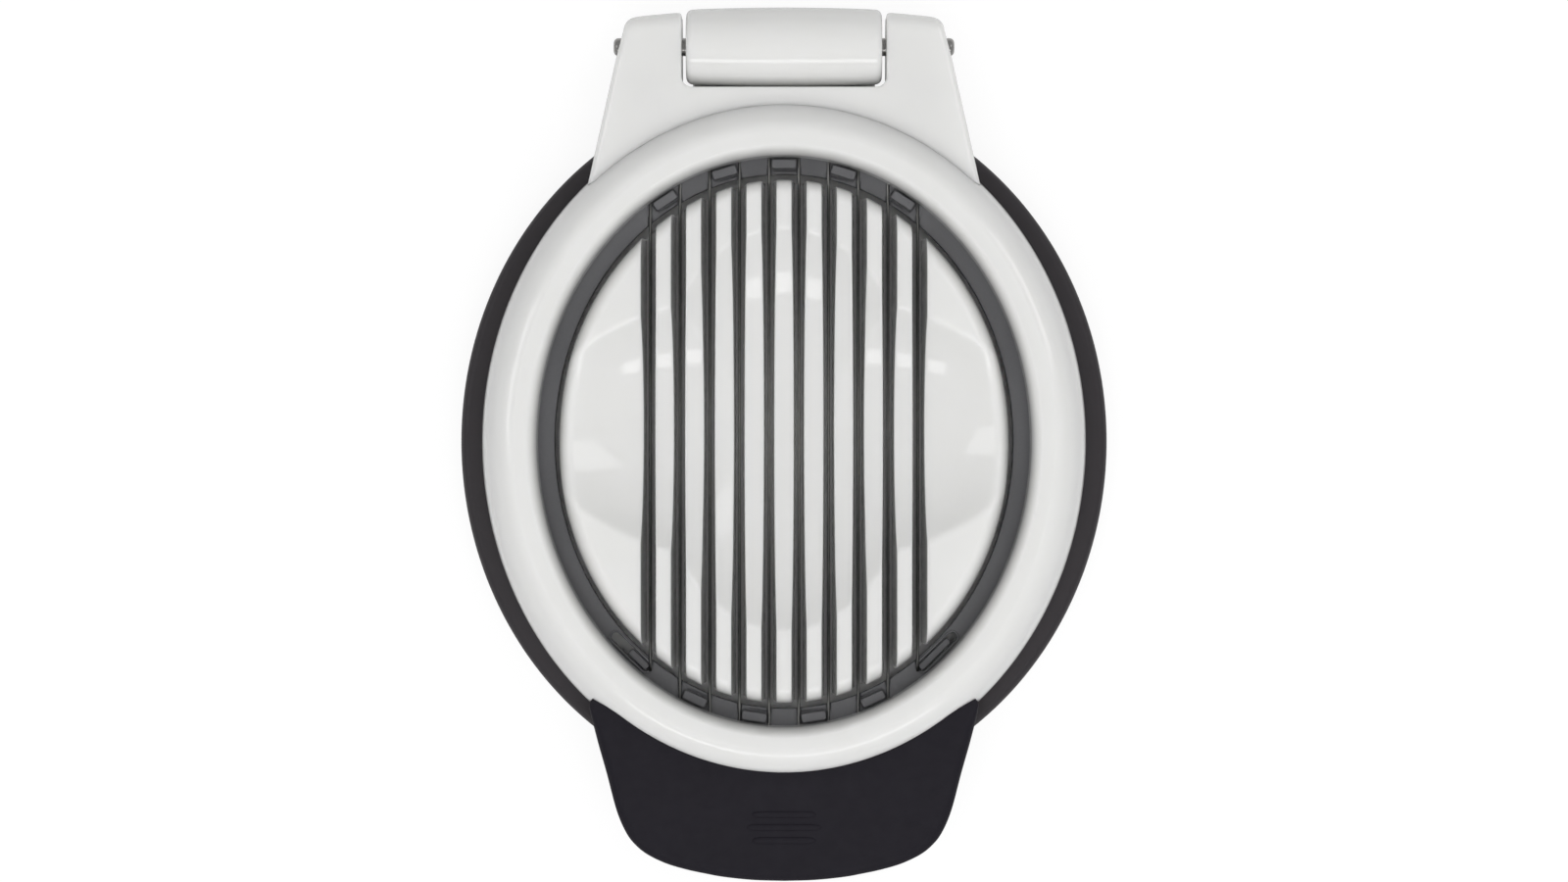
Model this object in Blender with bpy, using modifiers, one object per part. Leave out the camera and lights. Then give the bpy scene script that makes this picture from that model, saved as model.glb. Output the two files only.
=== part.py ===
"""Egg slicer: an oval base with a slotted egg tray, and a hinged arm strung with ten wire strands.

X runs across the slicer, the hinge is at the back (+Y), the grip is at the front (-Y) and the
slicer stands on Z = 0. The arm is modelled closed, with its wires down in the tray's slots.
Everything is placed from the plan centre, the middle of the oval ring.
"""

import math

import bmesh
import bpy
from mathutils import Matrix, Vector

# ---- Driving dimensions, in metres and degrees ---------------------------------------------

GAP = 0.0003  # left between two pieces that touch, or between a cut and what cut it
SEGMENTS = 60  # facets round an oval
BARREL_FACETS = 32
ROD_FACETS = 16
SCREW_FACETS = 12
WIRE_FACETS = 10

# Arm ring: a rounded channel, open below. Each oval is longer than it is wide by the stretch
RING_INNER = 0.0412  # half-width of the window
RING_WIDTH = 0.0094
OVAL_STRETCH = 0.0064  # half-length less half-width of every oval inside the arm's ring
RING_WALL = 0.0023
RING_BOTTOM = 0.0098
RING_HEIGHT = 0.0177
CROWN_PLACE = 0.36  # where the crown is highest, as a share of the ring's width
CROWN_INNER_ROUND = 0.0034
CROWN_OUTER_ROUND = 0.0060

# Base: a pan in a soft ring
SOFT_BAND = 0.0041  # how far the soft ring stands out past the arm's ring, at the sides
SOFT_BAND_END = 0.0028  # and at the front and back
SOFT_RING_FOOT = 0.0017  # thickness of the flange under the pan
SOFT_RING_FLANGE = 0.0039  # how far that flange reaches in under the pan
SOFT_RING_EDGE = 0.0007
PAN_INSET = 0.0007  # the ring's skirt covers the pan's rim by this much
PAN_WALL = 0.0025
PAN_BOTTOM = 0.0020
PAN_FLOOR_UNDER = 0.0030
PAN_FLOOR = 0.0020  # thickness

# Egg tray
TRAY_MARGIN = 0.0035  # from the ring's window to the tray's outline, seen from above
TRAY_TOP = 0.0250
TRAY_FLOOR = 0.0026  # thickness under the slots
TRAY_EDGE = 0.0010  # bevel round the top
TRAY_SHELL = 0.0024  # wall round the two hollow side lobes
TRAY_HOLLOW_DEPTH = 0.0102
SLOT_WIDTH = 0.0021
RECESS_CENTER_Y = 0.0020
RECESS_RISE = 0.0080  # the recess ellipsoids are centred this far above the tray's top
LONG_RECESS = (0.0250, 0.0371, 0.0183)  # half-axes, egg laid lengthwise
CROSS_RECESS = (0.0465, 0.0254, 0.0178)  # half-axes, egg laid crosswise
TRAY_SCREW_Y = 0.0130
TRAY_BOSS_RADIUS = 0.0030

# Wires
WIRE_COUNT = 10
WIRE_PITCH = 0.0050
WIRE_RADIUS = 0.00025
LOOP_DEPTH = 0.0010  # how far a wire bends out behind its post
LOOP_POINTS = 8

# Wire carrier
CARRIER_SHOWS = 0.0019  # how far the flange reaches into the ring's window
CARRIER_FLANGE = 0.0018  # thickness
CARRIER_BODY = 0.0063  # height of the part in the channel
POST_DEPTH = 0.0020
POST_HEIGHT = 0.0016
POST_ROOM = 0.0017  # the wire's two strands share this much more than the post's width
LOCK_SLOT_LENGTH = 0.0088
LOCK_SLOT_WIDTH = 0.0023
LOCK_SLOT_OFFSET = 0.0035  # from the outermost wire to the slot's middle, across the slicer
LEFT_LOCK_LENGTH = 0.0042
RIGHT_LOCK_LENGTH = 0.0068

# Hinge
HINGE_BEHIND_RING = 0.0090
HINGE_Z = 0.0170
OPEN_ANGLE = 105.0
PIN_RADIUS = 0.0015
PIN_DOME = 0.0008
PIN_SHOWS = 0.0010  # how far the pin stands out of an ear
BARREL_RADIUS = 0.0066
BARREL_CROWN = 0.00035  # how much thinner the barrel is at its ends
BARREL_EDGE = 0.0006
BARREL_HALF_LENGTH = 0.0161
BARREL_SIDE_GAP = 0.0008  # between the barrel's end and an ear
WEB_GAP = 0.0008  # between the barrel and the plate in front of it
NECK_INSET = 0.0011  # how much narrower the neck is than the barrel
NECK_ROUND = 0.0083
STOP_INNER = 0.0028
STOP_OUTER = 0.0044
STOP_HALF_ANGLE = 14.0
STOP_SLACK = 2.0
STOP_HEIGHT = 0.0018  # how far a stop lug stands out of the barrel's end

# Hinge plate and ears, part of the arm frame
PLATE_THICKNESS_OVER_AXIS = 0.0052
PLATE_FRONT_HALF_WIDTH = 0.0327
PLATE_TAPER = 0.0058  # how much narrower the plate is at its shoulders
SHOULDER_BEHIND_AXIS = 0.0026  # where the sides start to turn into the back edge
EAR_BACK = 0.0056  # from the hinge axis to the back of an ear
EAR_CORNER = 0.0030
EAR_LOW_ROUND = 0.0046
EAR_TOP_ROUND = 0.0030
WEB_CORNER = 0.0014
EAR_WALL = 0.0023
EAR_POCKET_WIDTH = 0.0060
EAR_POCKET_FRONT = 0.0120  # before the hinge axis
EAR_POCKET_BACK = 0.0050

# Grip, and the frame's tongue inside it
GRIP_REACH = 0.0168  # from the ring's front to the grip's end
GRIP_TIP_X = 0.0312
GRIP_TIP_OVERLAP = 0.0025  # the tips lie this far inside the ring's outer edge, along the slicer
GRIP_COVERS = 0.0016  # how far the grip laps over the ring's front
GRIP_MID_X = 0.0277
GRIP_MID_BEFORE_END = 0.0127
GRIP_END_X = 0.0208
GRIP_END_BOW = 0.0036
GRIP_LIFT = 0.0004  # the grip's underside is this far above the ring's
GRIP_HEIGHT = 0.0120
GRIP_FALL = 0.0057  # how much lower its top is at the front end
GRIP_EDGE = 0.0014
TONGUE_WALL = 0.0062  # from the tongue's side to the grip's
TONGUE_END_WALL = 0.0052
TONGUE_LIFT = 0.0024  # from the grip's underside to the tongue's
TONGUE_THICKNESS = 0.0026
TONGUE_CORNER = 0.0060

# Screws
TRAY_SCREW_RADIUS = 0.0014
TRAY_SCREW_HEAD = 0.0026
TRAY_SCREW_HEAD_HEIGHT = 0.0015
TRAY_SCREW_REACH = 0.0077  # into the tray
CARRIER_SCREW_COUNT = 6
CARRIER_SCREW_RADIUS = 0.00085
CARRIER_SCREW_HEAD = 0.00145
CARRIER_SCREW_HEAD_HEIGHT = 0.0013
CARRIER_SCREW_REACH = 0.0045  # into the arm frame
CARRIER_BOSS_RADIUS = 0.0020

# ---- Sizes that follow from those ----------------------------------------------------------

RING_OUTER = RING_INNER + RING_WIDTH
RING_TOP = RING_BOTTOM + RING_HEIGHT
RING_FRONT = RING_OUTER + OVAL_STRETCH  # half-length over the outer skirt
CHANNEL_INNER = RING_INNER + RING_WALL + 0.0004
CHANNEL_OUTER = RING_OUTER - RING_WALL

BASE_OUTER = RING_OUTER + SOFT_BAND
BASE_END_OUTER = RING_FRONT + SOFT_BAND_END
PAN_OUTER = RING_OUTER - PAN_INSET
PAN_RIM = RING_BOTTOM - GAP
PAN_FLOOR_TOP = PAN_FLOOR_UNDER + PAN_FLOOR
SOFT_RING_TOP = PAN_RIM - 0.0002
NECK_TOP = PAN_RIM - GAP
NECK_HALF_WIDTH = BARREL_HALF_LENGTH - NECK_INSET

TRAY_HALF_WIDTH = RING_INNER - TRAY_MARGIN
TRAY_HALF_LENGTH = TRAY_HALF_WIDTH + OVAL_STRETCH - 0.0004
TRAY_BOTTOM = PAN_FLOOR_TOP + GAP
TRAY_HOLLOW_TOP = TRAY_BOTTOM + TRAY_HOLLOW_DEPTH
SLOT_FLOOR = TRAY_BOTTOM + TRAY_FLOOR

CARRIER_BOTTOM = RING_BOTTOM + 0.0004
CARRIER_FLANGE_TOP = CARRIER_BOTTOM + CARRIER_FLANGE
CARRIER_TOP = CARRIER_BOTTOM + CARRIER_BODY
CARRIER_INNER = RING_INNER - CARRIER_SHOWS
CARRIER_BODY_INNER = CHANNEL_INNER + GAP
CARRIER_OUTER = CHANNEL_OUTER - GAP
CARRIER_SCREW_PLACE = CARRIER_OUTER - CARRIER_SCREW_HEAD - 0.00075
CARRIER_SCREW_TIP = CARRIER_TOP + CARRIER_SCREW_REACH
POST_WIDTH = WIRE_PITCH - POST_ROOM
POST_TOP = CARRIER_FLANGE_TOP + POST_HEIGHT
POST_PLACE = CARRIER_INNER + GAP / 3 + POST_DEPTH / 2
RING_INNER_BOTTOM = POST_TOP + 0.0004
WIRE_HEIGHT = CARRIER_FLANGE_TOP + 2 * WIRE_RADIUS
STRAND_PLACE = POST_PLACE + POST_DEPTH / 2  # the oval on which the straight strands end
OUTER_STRAND_X = (WIRE_COUNT - 1) / 2 * WIRE_PITCH
LOCK_SLOT_ANGLE = math.acos((OUTER_STRAND_X + LOCK_SLOT_OFFSET) / POST_PLACE)
TRAY_SCREW_X = (OUTER_STRAND_X + TRAY_HALF_WIDTH) / 2
TRAY_SCREW_TIP = TRAY_BOTTOM + TRAY_SCREW_REACH

HINGE_Y = RING_FRONT + HINGE_BEHIND_RING
HINGE = Vector((0, HINGE_Y, HINGE_Z))
EAR_INNER_X = BARREL_HALF_LENGTH + BARREL_SIDE_GAP
PLATE_TOP = HINGE_Z + PLATE_THICKNESS_OVER_AXIS
PLATE_BACK_HALF_WIDTH = PLATE_FRONT_HALF_WIDTH - PLATE_TAPER
PLATE_SHOULDER_Y = HINGE_Y + SHOULDER_BEHIND_AXIS
WEB_BACK_Y = HINGE_Y - BARREL_RADIUS - WEB_GAP
PIN_HALF_LENGTH = PLATE_BACK_HALF_WIDTH + 0.0006 + PIN_SHOWS

GRIP_END = RING_FRONT + GRIP_REACH
GRIP_MID_Y = GRIP_END - GRIP_MID_BEFORE_END
GRIP_END_Y = GRIP_END - GRIP_END_BOW
GRIP_BOTTOM = RING_BOTTOM + GRIP_LIFT
GRIP_TOP_AT_RING = GRIP_BOTTOM + GRIP_HEIGHT
TONGUE_HALF_WIDTH = GRIP_MID_X - TONGUE_WALL
TONGUE_END_Y = GRIP_END - TONGUE_END_WALL
TONGUE_BOTTOM = GRIP_BOTTOM + TONGUE_LIFT
TONGUE_TOP = TONGUE_BOTTOM + TONGUE_THICKNESS

PLAN_SHIFT = (GRIP_END - HINGE_Y - BARREL_RADIUS) / 2  # centres the whole length on Y = 0
SIDEWAYS = Matrix(((0, 0, 1, 0), (1, 0, 0, 0), (0, 1, 0, 0), (0, 0, 0, 1)))


def strand_x(index):
    """Where strand 0, 1, 2... crosses X = 0, from left to right."""
    return (index - (WIRE_COUNT - 1) / 2) * WIRE_PITCH


def stretch(radius):
    """Half-length less half-width of the oval of this half-width. It shrinks over the soft ring."""
    beyond = max(0.0, radius - RING_OUTER) / (BASE_OUTER - RING_OUTER)
    return OVAL_STRETCH + beyond * (BASE_END_OUTER - BASE_OUTER - OVAL_STRETCH)


def on_oval(radius, degrees):
    angle = math.radians(degrees)
    return Vector((radius * math.cos(angle), (radius + stretch(radius)) * math.sin(angle), 0))


def oval_y(radius, x):
    return (radius + stretch(radius)) * math.sqrt(1 - (x / radius) ** 2)


def arc(center, radius, first, last, steps):
    """Points on a circle from one angle to another, in degrees."""
    angles = (math.radians(first + (last - first) * i / steps) for i in range(steps + 1))
    return [(center[0] + radius * math.cos(a), center[1] + radius * math.sin(a)) for a in angles]


# ---- Scene ---------------------------------------------------------------------------------

for old in list(bpy.data.objects):
    bpy.data.objects.remove(old, do_unlink=True)

PARTS = bpy.data.collections.new("egg_slicer")
CUTTERS = bpy.data.collections.new("cutters")
for new_collection in (PARTS, CUTTERS):
    bpy.context.scene.collection.children.link(new_collection)


def empty(name, parent, location):
    marker = bpy.data.objects.new(name, None)
    marker.empty_display_size = 0.01
    PARTS.objects.link(marker)
    marker.parent = parent
    marker.location = location
    return marker


PLAN = empty("plan_center", None, (0, PLAN_SHIFT, 0))
PIVOT = empty("arm_pivot", PLAN, HINGE)


def material(name, color, roughness, metallic=0.0):
    made = bpy.data.materials.new(name)
    made.use_nodes = True
    shader = made.node_tree.nodes["Principled BSDF"]
    shader.inputs["Base Color"].default_value = (*color, 1)
    shader.inputs["Roughness"].default_value = roughness
    shader.inputs["Metallic"].default_value = metallic
    made.diffuse_color = (*color, 1)
    return made


WHITE_ABS = material("white_abs", (0.80, 0.80, 0.79), 0.25)
DARK_TPE = material("dark_tpe", (0.035, 0.033, 0.037), 0.6)
GREY_NYLON = material("grey_nylon", (0.16, 0.16, 0.16), 0.45)
STEEL = material("stainless_steel", (0.62, 0.61, 0.60), 0.25, 1.0)


def place(obj, collection, parent):
    """Link an object whose mesh is drawn about the plan centre, and hang it from its body's empty."""
    collection.objects.link(obj)
    obj.parent = parent
    obj.location = -HINGE if parent == PIVOT else (0, 0, 0)
    return obj


def piece(name, mesh, parent, finish):
    obj = place(bpy.data.objects.new(name, mesh), PARTS, parent)
    mesh.materials.clear()
    mesh.materials.append(finish)
    mesh.shade_smooth()
    mesh.set_sharp_from_angle(angle=math.radians(35))
    return obj


def cutter(name, mesh, parent):
    obj = place(bpy.data.objects.new(name, mesh), CUTTERS, parent)
    obj.display_type = "WIRE"
    obj.hide_render = True
    return obj


def boolean(target, operation, name, mesh):
    other = cutter(name, mesh, target.parent)
    modifier = target.modifiers.new(name, "BOOLEAN")
    modifier.operation = operation
    modifier.solver = "EXACT"
    modifier.object = other


def cut(target, name, mesh):
    boolean(target, "DIFFERENCE", name, mesh)


def join(target, name, mesh):
    boolean(target, "UNION", name, mesh)


# ---- Mesh helpers --------------------------------------------------------------------------


def finished(name, bm, matrix=None):
    if matrix:
        bm.transform(matrix)
    mesh = bpy.data.meshes.new(name)
    bm.to_mesh(mesh)
    bm.free()
    return mesh


def baked(obj):
    """The mesh that a curve or a modifier makes, with its seams welded. The object is removed."""
    bpy.context.scene.collection.objects.link(obj)
    graph = bpy.context.evaluated_depsgraph_get()
    mesh = bpy.data.meshes.new_from_object(obj.evaluated_get(graph))
    bpy.data.objects.remove(obj, do_unlink=True)
    bm = bmesh.new()
    bm.from_mesh(mesh)
    bmesh.ops.remove_doubles(bm, verts=bm.verts, dist=1e-6)
    bm.to_mesh(mesh)
    bm.free()
    return mesh


def turned(name, profile, closed, steps, matrix=None):
    """A profile of (radius, height) points turned about Z. It runs top to bottom on its outside."""
    mesh = bpy.data.meshes.new(name)
    count = len(profile)
    edges = [(i, i + 1) for i in range(count - 1)]
    if closed:
        edges.append((count - 1, 0))
    mesh.from_pydata([(radius, 0, z) for radius, z in profile], edges, [])
    obj = bpy.data.objects.new(name, mesh)
    screw = obj.modifiers.new("turn", "SCREW")
    screw.steps = steps
    screw.render_steps = steps
    screw.use_merge_vertices = True
    screw.merge_threshold = 1e-6
    mesh = baked(obj)
    if matrix:
        mesh.transform(matrix)
    return mesh


def oval_turned(name, profile, closed=True):
    """A turned shape drawn out along Y, each point by its own oval's stretch."""
    mesh = turned(name, profile, closed, SEGMENTS)
    for vertex in mesh.vertices:
        radius = math.hypot(vertex.co.x, vertex.co.y)
        if radius > 1e-6:
            vertex.co.y *= 1 + stretch(radius) / radius
    return mesh


def prism(name, outline, low, high, matrix=None):
    """A flat outline in X and Y, filled and extruded from one height to another."""
    curve = bpy.data.curves.new(name, "CURVE")
    curve.dimensions = "2D"
    curve.fill_mode = "BOTH"
    curve.extrude = (high - low) / 2
    spline = curve.splines.new("POLY")
    spline.points.add(len(outline) - 1)
    for point, (x, y) in zip(spline.points, outline):
        point.co = (x, y, 0, 1)
    spline.use_cyclic_u = True
    mesh = baked(bpy.data.objects.new(name, curve))
    mesh.transform(Matrix.Translation((0, 0, (low + high) / 2)))
    if matrix:
        mesh.transform(matrix)
    return mesh


def boxes(name, corners):
    """One mesh of separate boxes, each from its lowest to its highest corner."""
    bm = bmesh.new()
    for low, high in corners:
        low, high = Vector(low), Vector(high)
        place_box = Matrix.Translation((low + high) / 2) @ Matrix.Diagonal((*(high - low), 1))
        bmesh.ops.create_cube(bm, size=1, matrix=place_box)
    return finished(name, bm)


def rods(name, ends, radius, sides=ROD_FACETS):
    """One mesh of separate round rods, each between two points."""
    bm = bmesh.new()
    for start, end in ends:
        start, end = Vector(start), Vector(end)
        turn = (end - start).to_track_quat("Z", "Y").to_matrix().to_4x4()
        bmesh.ops.create_cone(
            bm,
            cap_ends=True,
            segments=sides,
            radius1=radius,
            radius2=radius,
            depth=(end - start).length,
            matrix=Matrix.Translation((start + end) / 2) @ turn,
        )
    return finished(name, bm)


def ellipsoid(name, half_axes, center):
    bm = bmesh.new()
    shape = Matrix.Translation(center) @ Matrix.Diagonal((*half_axes, 1))
    bmesh.ops.create_uvsphere(bm, u_segments=32, v_segments=22, radius=1, matrix=shape)
    return finished(name, bm)


def bevelled(mesh, width, segments=3, angle=40):
    """The same mesh with its sharp edges rounded."""
    obj = bpy.data.objects.new(mesh.name, mesh)
    bevel = obj.modifiers.new("edge", "BEVEL")
    bevel.width = width
    bevel.segments = segments
    bevel.limit_method = "ANGLE"
    bevel.angle_limit = math.radians(angle)
    return baked(obj)


def combined(mesh, operation, other):
    """The mesh that a Boolean makes of two meshes, which are both used up."""
    target = bpy.data.objects.new(mesh.name, mesh)
    tool = bpy.data.objects.new(other.name, other)
    CUTTERS.objects.link(tool)
    modifier = target.modifiers.new(operation, "BOOLEAN")
    modifier.operation = operation
    modifier.object = tool
    result = baked(target)
    bpy.data.objects.remove(tool, do_unlink=True)
    return result


def mirrored(points):
    """A right-hand outline, from its front to its back, closed by its mirror image."""
    return points + [(-x, y) for x, y in reversed(points)]


def repeated(name, profile, places, steps):
    """One mesh of the same small turned solid at each place."""
    bm = bmesh.new()
    for x, y in places:
        one = turned(name, profile, False, steps, Matrix.Translation((x, y, 0)))
        bm.from_mesh(one)
    return finished(name, bm)


def make_screws(name, parent, places, radius, head_radius, head_bottom, head_height, tip):
    """Pan-head screws that are driven from below, one object at each place."""
    profile = [
        (0, tip),
        (radius * 0.6, tip),
        (radius, tip - radius),
        (radius, head_bottom + head_height),
        (head_radius, head_bottom + head_height),
        (head_radius, head_bottom + head_height * 0.35),
        (head_radius * 0.8, head_bottom),
        (0, head_bottom),
    ]
    for number, (x, y) in enumerate(places, 1):
        mesh = turned(name, profile, False, SCREW_FACETS, Matrix.Translation((x, y, 0)))
        piece(f"{name}_{number}", mesh, parent, STEEL)


# ---- Base ----------------------------------------------------------------------------------


def make_base_body():
    """The white pan, its neck and the hinge barrel, in one moulding."""
    pan = [
        (0, PAN_FLOOR_TOP),
        (PAN_OUTER - PAN_WALL, PAN_FLOOR_TOP),
        (PAN_OUTER - PAN_WALL, PAN_RIM),
        (PAN_OUTER, PAN_RIM),
        (PAN_OUTER, PAN_BOTTOM),
        (PAN_OUTER - PAN_WALL, PAN_BOTTOM),
        (PAN_OUTER - PAN_WALL, PAN_FLOOR_UNDER),
        (0, PAN_FLOOR_UNDER),
    ]
    body = piece("base_body", oval_turned("base_body", pan, closed=False), PLAN, WHITE_ABS)
    neck_front = PAN_OUTER + stretch(PAN_OUTER) - PAN_WALL - 0.001
    back = HINGE_Y + BARREL_RADIUS - BARREL_CROWN
    neck = [
        (neck_front, PAN_BOTTOM),
        (HINGE_Y - 0.002, PAN_BOTTOM),
        *arc((HINGE_Y - 0.002, PAN_BOTTOM + NECK_ROUND), NECK_ROUND, -80, -10, 5),
        (back, HINGE_Z),
        (HINGE_Y - BARREL_RADIUS + BARREL_CROWN, HINGE_Z),
        (HINGE_Y - BARREL_RADIUS + BARREL_CROWN, NECK_TOP),
        (neck_front, NECK_TOP),
    ]
    join(body, "neck", prism("neck", neck, -NECK_HALF_WIDTH, NECK_HALF_WIDTH, SIDEWAYS))
    steps = 8
    barrel_end = BARREL_RADIUS - BARREL_CROWN - BARREL_EDGE
    barrel = [(0, BARREL_HALF_LENGTH), (barrel_end, BARREL_HALF_LENGTH)]
    for i in range(steps + 1):
        along = 1 - 2 * i / steps
        height = along * (BARREL_HALF_LENGTH - BARREL_EDGE)
        barrel.append((BARREL_RADIUS - BARREL_CROWN * along**2, height))
    barrel += [(barrel_end, -BARREL_HALF_LENGTH), (0, -BARREL_HALF_LENGTH)]
    at_hinge = Matrix.Translation(HINGE) @ SIDEWAYS
    join(body, "barrel", turned("barrel", barrel, False, BARREL_FACETS, at_hinge))
    for side in (-1, 1):
        lug = stop_sector("stop_lug", side, 0, 0, BARREL_HALF_LENGTH - 0.001, STOP_HEIGHT + 0.001)
        join(body, f"stop_lug_{side}", lug)
    cut(body, "barrel_bore", rods("barrel_bore", [pin_line(0.001)], PIN_RADIUS + GAP))
    holes = [((x, y, 0), (x, y, PAN_FLOOR_TOP + 0.001)) for x, y in tray_screw_places()]
    cut(body, "pan_screw_holes", rods("pan_screw_holes", holes, TRAY_SCREW_RADIUS + GAP))


def stop_sector(name, side, opening, slack, start, depth):
    """A piece of ring about the hinge axis, below it and `opening` degrees towards the back."""
    first = -90 - STOP_HALF_ANGLE - slack
    last = -90 + STOP_HALF_ANGLE + slack + opening
    grow = GAP if slack else 0
    outer = arc((HINGE_Y, HINGE_Z), STOP_OUTER + grow, first, last, 16)
    inner = arc((HINGE_Y, HINGE_Z), STOP_INNER - grow, last, first, 16)
    low, high = sorted((side * start, side * (start + depth)))
    return prism(name, outer + inner, low, high, SIDEWAYS)


def pin_line(extra):
    reach = PIN_HALF_LENGTH + extra
    return HINGE + Vector((-reach, 0, 0)), HINGE + Vector((reach, 0, 0))


def tray_screw_places():
    return [(x, y) for x in (-TRAY_SCREW_X, TRAY_SCREW_X) for y in (-TRAY_SCREW_Y, TRAY_SCREW_Y)]


def make_soft_ring():
    """The soft ring round and under the pan, which the slicer stands on."""
    inside = PAN_OUTER + GAP
    edge = SOFT_RING_EDGE
    flange_inner = inside - GAP - SOFT_RING_FLANGE
    profile = [
        (inside, SOFT_RING_TOP),
        (BASE_OUTER - 3 * edge, SOFT_RING_TOP),
        (BASE_OUTER - edge, SOFT_RING_TOP - edge),
        (BASE_OUTER, SOFT_RING_TOP - 3 * edge),
        (BASE_OUTER, 3 * edge),
        (BASE_OUTER - edge, edge),
        (BASE_OUTER - 3 * edge, 0),
        (flange_inner, 0),
        (flange_inner, SOFT_RING_FOOT),
        (inside, SOFT_RING_FOOT),
    ]
    ring = piece("nonslip_ring", oval_turned("nonslip_ring", profile), PLAN, DARK_TPE)
    half = NECK_HALF_WIDTH + GAP
    neck_room = ((-half, PAN_OUTER, SOFT_RING_FOOT), (half, BASE_OUTER + 0.01, 0.03))
    cut(ring, "neck_room", boxes("neck_room", [neck_room]))


def ellipse(half_width, half_length, center_y=0.0):
    points = arc((0, 0), 1, 0, 360, SEGMENTS)[:-1]
    return [(half_width * x, half_length * y + center_y) for x, y in points]


def make_egg_tray():
    """The white cradle: a block with two crossed egg recesses, ten slots and hollow side lobes."""
    block = prism("egg_tray", ellipse(TRAY_HALF_WIDTH, TRAY_HALF_LENGTH), TRAY_BOTTOM, TRAY_TOP)
    tray = piece("egg_tray", bevelled(block, TRAY_EDGE), PLAN, WHITE_ABS)
    hollow_outline = ellipse(TRAY_HALF_WIDTH - TRAY_SHELL, TRAY_HALF_LENGTH - TRAY_SHELL)
    lobe_start = strand_x(WIRE_COUNT - 1) + SLOT_WIDTH / 2 + TRAY_SHELL
    for side in (-1, 1):
        outline = [(side * max(x, lobe_start), y) for x, y in hollow_outline if x > lobe_start]
        hollow = prism("lobe_hollow", outline, TRAY_BOTTOM - 0.001, TRAY_HOLLOW_TOP)
        cut(tray, f"lobe_hollow_{side}", hollow)
    posts = [((x, y, TRAY_BOTTOM), (x, y, TRAY_HOLLOW_TOP + 0.001)) for x, y in tray_screw_places()]
    join(tray, "screw_bosses", rods("screw_bosses", posts, TRAY_BOSS_RADIUS))
    pilots = [((x, y, 0), (x, y, TRAY_SCREW_TIP + GAP)) for x, y in tray_screw_places()]
    cut(tray, "pilot_holes", rods("pilot_holes", pilots, TRAY_SCREW_RADIUS + GAP))
    center = (0, RECESS_CENTER_Y, TRAY_TOP + RECESS_RISE)
    cut(tray, "long_recess", ellipsoid("long_recess", LONG_RECESS, center))
    cut(tray, "cross_recess", ellipsoid("cross_recess", CROSS_RECESS, center))
    reach = TRAY_HALF_LENGTH + 0.005
    slots = []
    for index in range(WIRE_COUNT):
        x = strand_x(index)
        low = (x - SLOT_WIDTH / 2, -reach, SLOT_FLOOR)
        slots.append((low, (x + SLOT_WIDTH / 2, reach, TRAY_TOP + 0.005)))
    cut(tray, "wire_slots", boxes("wire_slots", slots))


def make_tray_screws():
    make_screws(
        "tray_screw",
        PLAN,
        tray_screw_places(),
        TRAY_SCREW_RADIUS,
        TRAY_SCREW_HEAD,
        PAN_FLOOR_UNDER - GAP - TRAY_SCREW_HEAD_HEIGHT,
        TRAY_SCREW_HEAD_HEIGHT,
        TRAY_SCREW_TIP,
    )


def make_hinge_pin():
    """A steel pin with domed ends, held in the barrel."""
    profile = [(0, PIN_HALF_LENGTH)]
    for x, y in arc((0, 0), 1, 70, 0, 4):
        profile.append((PIN_RADIUS * x, PIN_HALF_LENGTH - PIN_DOME + PIN_DOME * y))
    profile += [(radius, -height) for radius, height in reversed(profile)]
    at_hinge = Matrix.Translation(HINGE) @ SIDEWAYS
    piece("hinge_pin", turned("hinge_pin", profile, False, ROD_FACETS, at_hinge), PLAN, STEEL)


# ---- Arm -----------------------------------------------------------------------------------


def ring_profile():
    """The ring's section: a rounded crown over an outer and an inner skirt."""
    middle = RING_INNER + CROWN_PLACE * RING_WIDTH
    points = [
        (RING_INNER + 0.0004, RING_INNER_BOTTOM),
        (RING_INNER, RING_TOP - CROWN_INNER_ROUND),
    ]
    for x, y in arc((0, 0), 1, 150, 90, 3):
        place = middle + (middle - RING_INNER) * x
        points.append((place, RING_TOP - CROWN_INNER_ROUND * (1 - y)))
    for x, y in arc((0, 0), 1, 67, 8, 5):
        place = middle + (RING_OUTER - middle) * x
        points.append((place, RING_TOP - 2 * CROWN_OUTER_ROUND * (1 - y)))
    roof = RING_TOP - RING_WALL - 0.0012
    channel = CHANNEL_OUTER - CHANNEL_INNER
    points += [
        (RING_OUTER, RING_BOTTOM),
        (CHANNEL_OUTER, RING_BOTTOM),
        (CHANNEL_OUTER, roof - 0.0051),
        (CHANNEL_OUTER - 0.27 * channel, roof - 0.0018),
        (CHANNEL_OUTER - 0.68 * channel, roof),
        (CHANNEL_INNER + 0.14 * channel, roof),
        (CHANNEL_INNER, roof - 0.0020),
        (CHANNEL_INNER, RING_INNER_BOTTOM),
    ]
    return points


def plate_front_y():
    """Where the plate's sides meet the ring, a little inside its outer edge."""
    return oval_y(RING_OUTER, PLATE_FRONT_HALF_WIDTH) - 0.0009


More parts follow.
